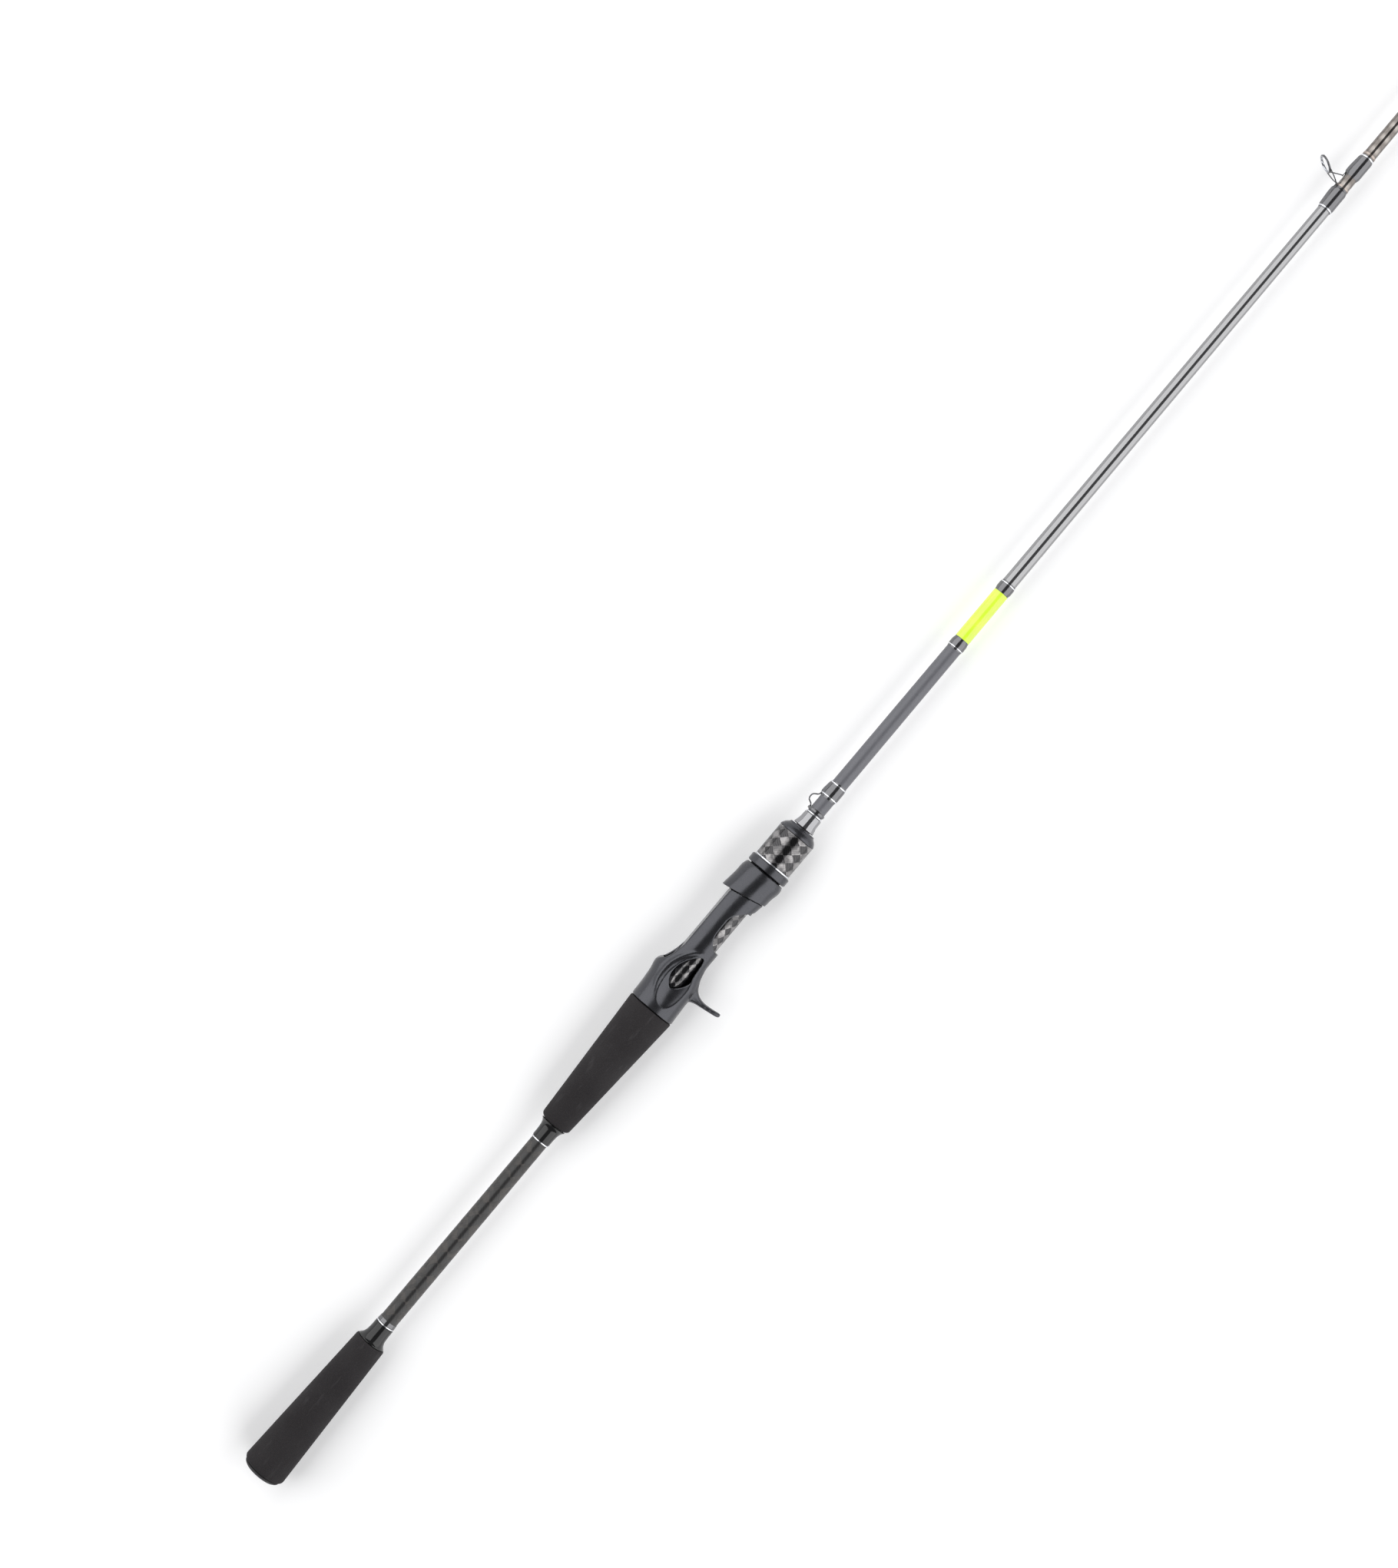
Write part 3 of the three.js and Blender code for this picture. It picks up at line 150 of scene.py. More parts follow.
class Look:
    """A Principled material, and short calls that add nodes to it."""

    def __init__(self, name, colour, roughness, metallic=0.0, ior=1.5, coat=0.0, coat_rough=0.05):
        self.material = bpy.data.materials.new(name)
        self.material.use_nodes = True
        self.tree = self.material.node_tree
        self.shader = self.tree.nodes["Principled BSDF"]
        self.set("Base Color", (*colour, 1))
        self.set("Roughness", roughness)
        self.set("Metallic", metallic)
        self.set("IOR", ior)
        self.set("Coat Weight", coat)
        self.set("Coat Roughness", coat_rough)

    def set(self, socket, value):
        self.shader.inputs[socket].default_value = value

    def link(self, value, socket):
        self.tree.links.new(value, self.shader.inputs[socket])

    def node(self, kind, inputs, **settings):
        made = self.tree.nodes.new("ShaderNode" + kind)
        for key, value in settings.items():
            setattr(made, key, value)
        for key, value in inputs.items():
            if isinstance(value, bpy.types.NodeSocket):
                self.tree.links.new(value, made.inputs[key])
            else:
                made.inputs[key].default_value = value
        return made

    def math(self, operation, *values):
        return self.node("Math", dict(enumerate(values)), operation=operation).outputs[0]

    def place(self):
        return self.node("TexCoord", {}).outputs["Object"]

    def axes(self):
        """Object-space x, and the angle round the rod as a share of a turn."""
        split = self.node("SeparateXYZ", {0: self.place()})
        angle = self.math("ARCTAN2", split.outputs["Y"], split.outputs["Z"])
        return split.outputs["X"], self.math("DIVIDE", angle, 2 * math.pi)

    def noise(self, scale, detail=3.0, stretch=None):
        vector = self.place()
        if stretch:
            vector = self.node("Mapping", {"Vector": vector, "Scale": stretch}).outputs[0]
        made = self.node("TexNoise", {"Vector": vector, "Scale": scale, "Detail": detail})
        return made.outputs["Fac"]

    def ramp(self, value, low, high, out_low=0.0, out_high=1.0):
        made = self.node("MapRange", {0: value, 1: low, 2: high, 3: out_low, 4: out_high})
        return made.outputs[0]

    def blend(self, share, first, second):
        made = self.node("Mix", {}, data_type="RGBA")
        for socket, value in (("Factor_Float", share), ("A_Color", first), ("B_Color", second)):
            target = next(i for i in made.inputs if i.identifier == socket)
            if isinstance(value, bpy.types.NodeSocket):
                self.tree.links.new(value, target)
            else:
                target.default_value = (*value, 1) if isinstance(value, tuple) else value
        return next(o for o in made.outputs if o.identifier == "Result_Color")

    def bump(self, height, strength, distance):
        made = self.node("Bump", {"Height": height, "Strength": strength, "Distance": distance})
        self.link(made.outputs[0], "Normal")

    def vary(self, share, low, high):
        """Roughness that runs from low to high with a 0 to 1 value."""
        self.link(self.ramp(share, 0.3, 0.7, low, high), "Roughness")


def foam_look():
    look = Look("eva_foam", (0.03, 0.027, 0.029), 0.85, ior=1.35)
    cells = look.node("TexVoronoi", {"Vector": look.place(), "Scale": 2600.0}).outputs["Distance"]
    clouds = look.noise(45, 4)
    scuffs = look.ramp(look.noise(260, 5, (0.25, 1, 1)), 0.6, 0.75)
    speckle = look.ramp(cells, 0.1, 0.8)
    tone = look.blend(speckle, (0.012, 0.0105, 0.0115), (0.024, 0.0215, 0.023))
    tone = look.blend(look.math("MULTIPLY", scuffs, 0.5), tone, (0.05, 0.047, 0.05))
    look.link(tone, "Base Color")
    look.vary(clouds, 0.74, 0.92)
    look.bump(look.math("ADD", cells, look.math("MULTIPLY", clouds, 0.6)), 0.35, 0.00012)
    return look.material


def rubber_look():
    look = Look("moulded_rubber", (0.016, 0.015, 0.016), 0.6)
    grain = look.noise(3200, 2)
    look.vary(look.noise(120), 0.5, 0.7)
    look.bump(grain, 0.25, 0.0001)
    return look.material


def weave_look(name, pitch, strands, dark, light, roughness, metallic):
    """Wide carbon ribbons wound both ways and over each other, under clear resin."""
    look = Look(name, light, roughness, metallic=metallic, coat=0.25, coat_rough=0.08)
    x, turn = look.axes()
    stray = look.math("MULTIPLY", look.math("SUBTRACT", look.noise(170, 2), 0.5), 0.35)
    along = look.math("ADD", look.math("DIVIDE", x, pitch), stray)
    around = look.math("MULTIPLY", turn, strands)
    lanes = [look.math("ADD", along, around), look.math("SUBTRACT", along, around)]
    shares = [look.math("FRACT", lane) for lane in lanes]
    number = [look.math("FLOOR", lane) for lane in lanes]
    parity = look.math("PINGPONG", look.math("ADD", *number), 1.0)
    checks = look.math("GREATER_THAN", parity, 0.5)
    fibre = [look.math("PINGPONG", look.math("MULTIPLY", s, 9), 1.0) for s in shares]
    strand = look.math("ADD", look.math("MULTIPLY", fibre[0], checks),
                       look.math("MULTIPLY", fibre[1], look.math("SUBTRACT", 1.0, checks)))
    patch = look.ramp(look.noise(190, 2), 0.42, 0.58)
    shade = look.math("MULTIPLY", checks, look.math("ADD", 0.2, look.math("MULTIPLY", patch, 0.62)))
    shade = look.math("ADD", shade, look.math("MULTIPLY", strand, 0.18))
    look.link(look.blend(shade, dark, light), "Base Color")
    look.link(look.ramp(checks, 0, 1, roughness, roughness * 1.5), "Roughness")
    crown = look.math("MULTIPLY", look.math("PINGPONG", shares[0], 0.5),
                      look.math("PINGPONG", shares[1], 0.5))
    look.bump(look.math("ADD", crown, look.math("MULTIPLY", strand, 0.05)), 0.3, 0.0003)
    return look.material


def moulding_look():
    look = Look("seat_grey", (0.07, 0.071, 0.078), 0.27, metallic=0.95)
    look.vary(look.noise(150, 4), 0.22, 0.3)
    fine = look.noise(4200, 2)
    tone = look.blend(look.ramp(fine, 0.35, 0.65), (0.062, 0.063, 0.069), (0.08, 0.081, 0.089))
    look.link(tone, "Base Color")
    look.bump(fine, 0.12, 0.00008)
    return look.material


def lacquer_look(name, colour, roughness, metallic=1.0):
    """Gloss lacquer, or black chrome where it is metallic: dark, with sharp reflections."""
    look = Look(name, colour, roughness, metallic=metallic)
    look.vary(look.noise(90, 4), roughness * 0.7, roughness * 1.3)
    look.bump(look.noise(420, 3), 0.05, 0.0001)
    return look.material


def thread_look():
    """Fine thread laid side by side under varnish."""
    look = Look("thread_wrap", (0.25, 0.25, 0.26), 0.12, metallic=1.0)
    x, _ = look.axes()
    lay = look.math("PINGPONG", look.math("DIVIDE", x, 0.00022), 1.0)
    swell = look.noise(300, 3)
    tone = look.blend(lay, (0.12, 0.12, 0.126), (0.2, 0.2, 0.207))
    look.link(tone, "Base Color")
    look.vary(swell, 0.08, 0.2)
    look.bump(look.math("ADD", swell, look.math("MULTIPLY", lay, 0.12)), 0.12, 0.0003)
    return look.material


def metal_look(name, colour, roughness, pitch):
    """Turned or polished metal with fine tool lines round its axis."""
    look = Look(name, colour, roughness, metallic=1.0)
    x, _ = look.axes()
    lines = look.math("PINGPONG", look.math("DIVIDE", x, pitch), 1.0)
    clouds = look.noise(700, 3)
    look.vary(clouds, roughness * 0.7, roughness * 1.4)
    look.bump(look.math("ADD", look.math("MULTIPLY", lines, 0.3), clouds), 0.08, 0.0001)
    return look.material


def neon_look():
    look = Look("neon", (0.69, 1.0, 0.03), 0.22, coat=1.0, coat_rough=0.05)
    drift = look.noise(60, 3)
    look.link(look.blend(look.ramp(drift, 0.3, 0.7), (0.60, 0.95, 0.025), (0.76, 1.0, 0.05)), "Base Color")
    look.vary(drift, 0.18, 0.3)
    look.bump(look.noise(700, 2), 0.05, 0.0001)
    return look.material


def blank_look(name, grey_end, black_end):
    """The blank's paint: satin grey, then gloss black, then bare graphite under clear coat."""
    look = Look(name, (0.13, 0.13, 0.145), 0.35, metallic=0.2)
    x, turn = look.axes()
    spirals = [look.math("PINGPONG", look.math("ADD", look.math("DIVIDE", x, 0.0045 * way),
                                               look.math("MULTIPLY", turn, 3.0)), 1.0)
               for way in (1, -1)]
    cross = look.math("MULTIPLY", spirals[0], spirals[1])
    flake = look.ramp(look.noise(5200, 2), 0.3, 0.7)
    grey = look.blend(flake, (0.095, 0.096, 0.107), (0.155, 0.156, 0.172))
    bare = look.blend(cross, (0.16, 0.145, 0.135), (0.4, 0.37, 0.345))
    is_black = look.math("GREATER_THAN", x, grey_end)
    is_bare = look.math("GREATER_THAN", x, black_end)
    tone = look.blend(is_black, grey, (0.3, 0.3, 0.305))
    look.link(look.blend(is_bare, tone, bare), "Base Color")
    satin = look.ramp(look.noise(130, 3), 0.3, 0.7, 0.34, 0.44)
    gloss = look.ramp(look.noise(130, 3), 0.3, 0.7, 0.08, 0.15)
    look.link(look.ramp(is_black, 0, 1, 0.2, 1.0), "Metallic")
    rough = look.node("Mix", {0: is_black, 2: satin, 3: gloss}, data_type="FLOAT").outputs[0]
    look.link(rough, "Roughness")
    look.bump(look.math("MULTIPLY", cross, is_bare), 0.15, 0.0001)
    return look.material


def arbor_look():
    look = Look("arbor_foam", (0.47, 0.4, 0.26), 0.9)
    cells = look.node("TexVoronoi", {"Vector": look.place(), "Scale": 1500.0}).outputs["Distance"]
    look.link(look.blend(cells, (0.36, 0.3, 0.19), (0.55, 0.47, 0.32)), "Base Color")
    look.bump(cells, 0.4, 0.0003)
    return look.material


# ------------------------------------------------------------------ mesh helpers

def new_piece(name, mesh):
    piece = bpy.data.objects.new(name, mesh)
    bpy.context.scene.collection.objects.link(piece)
    return piece


def skin(name, rings, closed_tube=False):
    """A closed mesh through rings of equally many points; a closed tube joins last ring to first."""
    count = len(rings[0])
    points = [tuple(p) for ring in rings for p in ring]
    faces = []
    total = len(rings)
    for r in range(total if closed_tube else total - 1):
        a, b = r * count, ((r + 1) % total) * count
        for i in range(count):
            j = (i + 1) % count
            faces.append((a + i, b + i, b + j, a + j))
    if not closed_tube:
        faces.append(tuple(range(count)))
        faces.append(tuple(range((total - 1) * count, total * count))[::-1])
    mesh = bpy.data.meshes.new(name)
    mesh.from_pydata(points, [], faces)
    fix_normals(mesh)
    return mesh


def fix_normals(mesh):
    work = bmesh.new()
    work.from_mesh(mesh)
    bmesh.ops.remove_doubles(work, verts=work.verts, dist=1e-7)
    bmesh.ops.recalc_face_normals(work, faces=work.faces)
    work.to_mesh(mesh)
    work.free()
    mesh.update()


def smooth_shade(mesh, angle=32):
    mesh.shade_smooth()
    mesh.set_sharp_from_angle(angle=math.radians(angle))


def meridian(node, centre=Vector(), lean=0.0):
    """The outline of a turned solid, as (x, radius) points in order round it.

    A solid that is closed on the axis has an outline that starts and ends there.
    """
    mesh = NODES[node].data
    turn = Matrix.Rotation(lean, 3, "Z")
    kinds, spots = [], []
    for vertex in mesh.vertices:
        p = turn @ (vertex.co - centre)
        spot = (p.x, math.hypot(p.y, p.z))
        same = [k for k in kinds if abs(k[0] - spot[0]) + abs(k[1] - spot[1]) < 0.02 * MM]
        if not same:
            kinds.append(spot)
        spots.append(same[0] if same else spot)
    near = {}
    for face in mesh.polygons:
        met = {spots[i] for i in face.vertices}
        if len(met) == 2:
            one, other = met
            near.setdefault(one, set()).add(other)
            near.setdefault(other, set()).add(one)
    ends = sorted(k for k, n in near.items() if len(n) == 1)
    order = [ends[0] if ends else min(near)]
    while True:
        onward = sorted(k for k in near[order[-1]] if k not in order)
        if not onward:
            break
        order.append(onward[0])
    if ends:
        order = [(order[0][0], 0.0), *order, (order[-1][0], 0.0)]
    return [spot for i, spot in enumerate(order) if i == 0 or spot != order[i - 1]]


def turned_mesh(name, outline, sides, centre=Vector(), lean=0.0):
    back = Matrix.Rotation(-lean, 3, "Z")
    rings = []
    for i in range(sides):
        turn = 2 * math.pi * i / sides
        rings.append([back @ Vector((x, r * math.sin(turn), r * math.cos(turn))) + centre
                      for x, r in outline])
    on_axis = min(r for _, r in outline) < 2e-5
    mesh = bpy.data.meshes.new(name)
    count = len(outline)
    points = [tuple(p) for ring in rings for p in ring]
    faces = []
    for i in range(sides):
        a, b = i * count, ((i + 1) % sides) * count
        for k in range(count - 1 if on_axis else count):
            m = (k + 1) % count
            faces.append((a + k, a + m, b + m, b + k))
    mesh.from_pydata(points, [], faces)
    work = bmesh.new()
    work.from_mesh(mesh)
    bmesh.ops.remove_doubles(work, verts=work.verts, dist=1e-7)
    bmesh.ops.dissolve_degenerate(work, dist=1e-7, edges=work.edges)
    bmesh.ops.recalc_face_normals(work, faces=work.faces)
    work.to_mesh(mesh)
    work.free()
    return mesh


def soften(piece, width, segments=2):
    edge = piece.modifiers.new("broken_edges", "BEVEL")
    edge.width = width
    edge.segments = segments
    edge.limit_method = "ANGLE"
    edge.angle_limit = math.radians(28)
    edge.harden_normals = False


def finish_piece(piece, nodes, look):
    piece.data.materials.clear()
    piece.data.materials.append(look)
    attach(piece, BODY_OF[nodes[0]])
    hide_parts(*nodes)


def turn_again(node, look, edge=0.15 * MM, sides=96, centre=Vector(), lean=0.0):
    """A turned solid at full roundness, with its edges broken."""
    mesh = turned_mesh(node + "_turned", meridian(node, centre, lean), sides, centre, lean)
    smooth_shade(mesh)
    piece = new_piece(node + "_turned", mesh)
    if edge:
        soften(piece, edge)
    finish_piece(piece, [node], look)
    return piece


def plate(name, outline, half_width):
    """A side outline in X and Y, made thick across Z."""
    rings = [[(x, y, z) for x, y in outline] for z in (-half_width, half_width)]
    return skin(name, rings)


def bezier(*points, steps=14):
    made = []
    for i in range(steps):
        t = i / steps
        level = [Vector(p) for p in points]
        while len(level) > 1:
            level = [a.lerp(b, t) for a, b in zip(level, level[1:])]
        made.append(tuple(level[0]))
    return made


def combine(piece, tool_mesh, operation):
    """An exact boolean with a mesh that is then thrown away."""
    tool = new_piece("tool", tool_mesh)
    change = piece.modifiers.new("combine", "BOOLEAN")
    change.operation = operation
    change.solver = "EXACT"
    change.object = tool
    bake_modifiers(piece)
    bpy.data.objects.remove(tool)


def cut(piece, tool_mesh):
    combine(piece, tool_mesh, "DIFFERENCE")


def keep_common(piece, tool_mesh):
    combine(piece, tool_mesh, "INTERSECT")


def bake_modifiers(piece):
    depsgraph = bpy.context.evaluated_depsgraph_get()
    made = bpy.data.meshes.new_from_object(piece.evaluated_get(depsgraph))
    piece.modifiers.clear()
    piece.data = made


def fuse(name, meshes, voxel, rounds, shade_angle=40):
    """Several closed meshes as one moulded skin, its corners eased by smoothing."""
    work = bmesh.new()
    for mesh in meshes:
        work.from_mesh(mesh)
    whole = bpy.data.meshes.new(name)
    work.to_mesh(whole)
    work.free()
    piece = new_piece(name, whole)
    remesh = piece.modifiers.new("fuse", "REMESH")
    remesh.mode = "VOXEL"
    remesh.voxel_size = voxel
    remesh.adaptivity = 0.0
    ease = piece.modifiers.new("ease", "SMOOTH")
    ease.factor = 0.5
    ease.iterations = rounds
    bake_modifiers(piece)
    piece.data.shade_smooth()
    return piece


# ------------------------------------------------------------------ the look of each slot

LOOKS = {
    "rubber": rubber_look(),
    "eva_foam": foam_look(),
    "carbon_weave": weave_look("handle_weave", 9.5 * MM, 4, (0.006, 0.006, 0.0065),
                               (0.05, 0.044, 0.04), 0.4, 0.0),
    "seat_grey": moulding_look(),
    "gloss_black": lacquer_look("check_black", (0.006, 0.006, 0.0065), 0.1, 0.0),
    "black_chrome": lacquer_look("check_chrome", (0.3, 0.3, 0.31), 0.09),
    "silver": metal_look("bright_ring", (0.72, 0.73, 0.76), 0.18, 0.0002),
    "blank_grey": blank_look("blank_paint", 0.678, 0.9844),
    "neon": neon_look(),
    "thread_wrap": thread_look(),
    "gunmetal": metal_look("guide_frame_metal", (0.12, 0.12, 0.126), 0.22, 0.0004),
    "ring": metal_look("ring_insert", (0.42, 0.43, 0.46), 0.1, 0.0003),
    "arbor": arbor_look(),
}
LOOKS["blank_black"] = LOOKS["blank_grey"]
NUT_WEAVE = weave_look("nut_flakes", 6.5 * MM, 9, (0.025, 0.025, 0.027), (0.3, 0.29, 0.29), 0.16, 1.0)


# ------------------------------------------------------------------ places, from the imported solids

def low_x(node):
    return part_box(node)[0].x


def high_x(node):
    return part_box(node)[1].x


SEAT_X = low_x("reel_seat_body")
SHOULDER = SEAT_X + 85.6 * MM  # where the moving hood meets the seat, on the axis
HOOD_FRONT = high_x("moving_hood")
DECK = 10.1 * MM  # the reel foot's bed, over the axis
POCKET, POCKET_HALF = 4.4 * MM, 6.6 * MM  # height and half width under each hood
STEP = 0.2 * MM  # pocket floors lie this much under the deck
SLANT = math.radians(11)  # of the shoulder
SEAT_BORE = 7.7 * MM
BARREL_ROOT, BARREL_CREST = 8.9 * MM, 9.6 * MM
THREAD_PITCH, THREAD_STEPS = 3 * MM, 72
TRIGGER_AHEAD = 1.7 * MM  # the trigger's rows are moved forward by this
GUIDE_TILT = math.radians(26)


def in_seat(x, y):
    """Millimetres from the seat's rear end, and from the rod's axis."""
    return SEAT_X + x * MM, y * MM


# ------------------------------------------------------------------ turned pieces

for node, edge in (
    ("butt_cap", 0.5), ("handle_carbon_sleeve", 0.1), ("butt_lacquer_band", 0.06),
    ("butt_check_ring", 0.15), ("rear_check_ring", 0.15), ("blank_butt_section", 0.1),
    ("blank_tip_section", 0.1), ("seat_arbor_rear", 0.2),
    ("seat_arbor_front", 0.2), ("nut_trim_ring", 0.12), ("front_check_ring", 0.15),
    ("colour_band", 0.05),
):
    turn_again(node, LOOKS[SLOT_OF[node]], edge * MM)
for node in ("nut_carbon_sleeve", "seat_carbon_sleeve"):
    turn_again(node, NUT_WEAVE, 0.1 * MM)


def rounded_outline(points, radius, steps=5):
    """A closed outline with each corner rounded off, where its sides leave room."""
    made = []
    count = len(points)
    for i, point in enumerate(points):
        here = Vector(point)
        before, after = Vector(points[i - 1]) - here, Vector(points[(i + 1) % count]) - here
        reach = min(radius, before.length * 0.45, after.length * 0.45)
        start, end = here + before.normalized() * reach, here + after.normalized() * reach
        for k in range(steps + 1):
            t = k / steps
            made.append(tuple(start.lerp(here, t).lerp(here.lerp(end, t), t)))
    return made


def flowing(points, steps=12):
    """A smooth curve through an outline's points."""
    pts = [Vector(p) for p in points]
    padded = [pts[0] * 2 - pts[1], *pts, pts[-1] * 2 - pts[-2]]
    made = []
    for i in range(1, len(padded) - 2):
        a, b, c, d = padded[i - 1:i + 3]
        for k in range(steps):
            t = k / steps
            made.append(tuple(0.5 * (2 * b + (c - a) * t + (2 * a - 5 * b + 4 * c - d) * t * t
                                     + (3 * b - a - 3 * c + d) * t ** 3)))
    made.append(tuple(pts[-1]))
    return made


def shaped_again(node, look, radius, sides=128):
    """A turned solid with its corners rounded to a radius."""
    outline = rounded_outline(meridian(node), radius)
    mesh = turned_mesh(node + "_shaped", outline, sides)
    smooth_shade(mesh, 50)
    piece = new_piece(node + "_shaped", mesh)
    finish_piece(piece, [node], look)
    return piece


for node, radius in (("butt_grip", 1.6), ("rear_grip", 1.6)):
    grip = shaped_again(node, LOOKS["eva_foam"], radius * MM)
for node, radius in (("butt_winding_check", 0.9), ("rear_winding_check", 0.9),
                     ("front_winding_check", 0.8)):
    slot = "black_chrome" if node == "front_winding_check" else "gloss_black"
    shaped_again(node, LOOKS[slot], radius * MM)
for node, radius in (("nut_collar", 0.7), ("nut_end_cap", 1.1)):
    shaped_again(node, LOOKS["seat_grey"], radius * MM)


# ------------------------------------------------------------------ reel seat

def loft_rings(stations, squareness, sides, gap):
    """Stations of (x, top, bottom, half width), joined by smooth curves and closed by flat ends."""
    xs = np.array([s[0] for s in stations])
    table = np.array([s[1:] for s in stations])
    slopes = np.gradient(table, xs, axis=0)
    rings = []
    for x in np.append(np.arange(xs[0], xs[-1], gap), xs[-1]):
        i = min(np.searchsorted(xs, x, side="right") - 1, len(xs) - 2)
        span = xs[i + 1] - xs[i]
        t = (x - xs[i]) / span
        top, bottom, half = (
            table[i] * (2 * t ** 3 - 3 * t ** 2 + 1) + slopes[i] * span * (t ** 3 - 2 * t ** 2 + t)
            + table[i + 1] * (3 * t ** 2 - 2 * t ** 3) + slopes[i + 1] * span * (t ** 3 - t ** 2))
        ring = []
        for k in range(sides):
            s, c = math.sin(2 * math.pi * k / sides), math.cos(2 * math.pi * k / sides)
            y = (top + bottom) / 2 + (top - bottom) / 2 * math.copysign(abs(s) ** (2 / squareness), s)
            z = half * math.copysign(abs(c) ** (2 / squareness), c)
            ring.append((x, y, z))
        rings.append(ring)
    return rings


def ahead_of_slant(x):
    size = 0.12
    turn = Matrix.Rotation(SLANT, 3, "Z")
    corners = [turn @ Vector((a, b, 0)) + Vector((x, 0, 0))
               for a, b in ((0, -size / 2), (size, -size / 2), (size, size / 2), (0, size / 2))]
    return plate("slant", [(c.x, c.y) for c in corners], size / 2)


def bore_plug(x0, x1, radius, sides=96):
    return turned_mesh("bore", [(x0, 0), (x0, radius), (x1, radius), (x1, 0)], sides)


def box_mesh(x0, x1, y0, y1, half):
    return plate("box", [(x0, y0), (x1, y0), (x1, y1), (x0, y1)], half)


def seat_shell():
    stations = [
        (0, 14.85, -14.85, 14.85), (10, 15.25, -14.25, 14.45), (18, 16.05, -13.95, 13.65),
        (23.4, 17.1, -13.95, 12.95), (30, 15.9, -11.65, 11.95), (37, 13.7, -9.9, 10.95),
        (46, 12.5, -9.7, 10.55), (70, 12.5, -9.7, 10.55), (80, 12.5, -10.2, 11.25),
        (90.4, 12.5, -11.9, 12.2),
    ]
    stations = [(SEAT_X + s[0] * MM, *(v * MM for v in s[1:])) for s in stations]
    return skin("shell", loft_rings(stations, 2.2, 144, 0.8 * MM))


def deck_cut():
    outline = [in_seat(23.4, 40), in_seat(23.4, 17.3)]
    outline += bezier(in_seat(23.4, 17.3), in_seat(26.5, 16.7), in_seat(29, 13.7))
    outline += bezier(in_seat(29, 13.7), in_seat(34, 11.1), in_seat(42, 10.1))
    outline += [in_seat(42, 10.1), in_seat(82, 10.1), in_seat(82, 9.9), in_seat(106, 9.9),
                in_seat(106, 40)]
    return plate("deck", outline, 0.03)


def flank_window():
    outline = []
    for curve in (
        ((16.8, 0.7), (21, 6.8), (30, 7.6), (37.5, 1.6)),
        ((37.5, 1.6), (40.5, -0.8), (43, -3.4), (41.2, -4.6)),
        ((41.2, -4.6), (38, -6.4), (31, -5.2), (27, -7.2)),
        ((27, -7.2), (22.5, -6.4), (18, -3.2), (16.8, 0.7)),
    ):
        outline += bezier(*(in_seat(*p) for p in curve))
    return plate("flank", outline, 0.03)


def underside_window():
    outline = [in_seat(49, -30)]
    outline += bezier(in_seat(49, -6.9), in_seat(51, -2), in_seat(55, 0), in_seat(61, 0))
    outline += bezier(in_seat(68.2, 0), in_seat(73.4, -0.4), in_seat(76, -4.6), in_seat(80.5, -9.2))
    outline += [in_seat(80.5, -9.2), in_seat(84.5, -12.6), in_seat(84.5, -30)]
    return plate("arch", outline, 0.03)


def thumb_scoop(side):
    work = bmesh.new()
    bmesh.ops.create_uvsphere(work, u_segments=96, v_segments=64, radius=1)
    bmesh.ops.scale(work, vec=(24 * MM, 15 * MM, 11 * MM), verts=work.verts)
    bmesh.ops.translate(work, vec=(SEAT_X + 25 * MM, -3 * MM, side * 20.5 * MM), verts=work.verts)
    mesh = bpy.data.meshes.new("scoop")
    work.to_mesh(mesh)
    work.free()
    return mesh


def trigger_mesh():
    """The trigger is rounded across: wide and full behind, drawn in towards its tip."""
    rows = [  # depth below the axis, rear edge and front edge in the seat, half width
        (8.2, 13.2, 40.5, 6.4), (9.6, 13.6, 36.4, 6.1), (11.2, 14.0, 30.0, 5.8), (12.6, 14.4, 26.8, 5.5),
        (14.2, 15.2, 24.0, 5.2), (16.5, 16.2, 22.0, 4.8), (19, 16.7, 20.9, 4.5), (22, 17.1, 20.4, 4.2),
        (25, 17.5, 20.5, 3.9), (28, 17.9, 20.8, 3.5), (30.5, 18.25, 21.15, 3.15), (32.2, 18.6, 21.4, 2.7),
        (33.2, 19.0, 21.45, 2.1), (33.75, 19.6, 21.0, 1.1),
    ]
    flow = flowing([(a * MM, b * MM, c * MM, d * MM) for a, b, c, d in rows], 4)
    rings = []
    for depth, rear, front, half in flow:
        ring = []
        for k in range(72):
            s, c = math.sin(2 * math.pi * k / 72), math.cos(2 * math.pi * k / 72)
            middle, reach = (rear + front) / 2, (front - rear) / 2
            ring.append((SEAT_X + TRIGGER_AHEAD + middle + reach * math.copysign(abs(c) ** 0.8, c), -depth,
                         half * math.copysign(abs(s) ** 0.8, s)))
        rings.append(ring)
    return skin("trigger", rings)


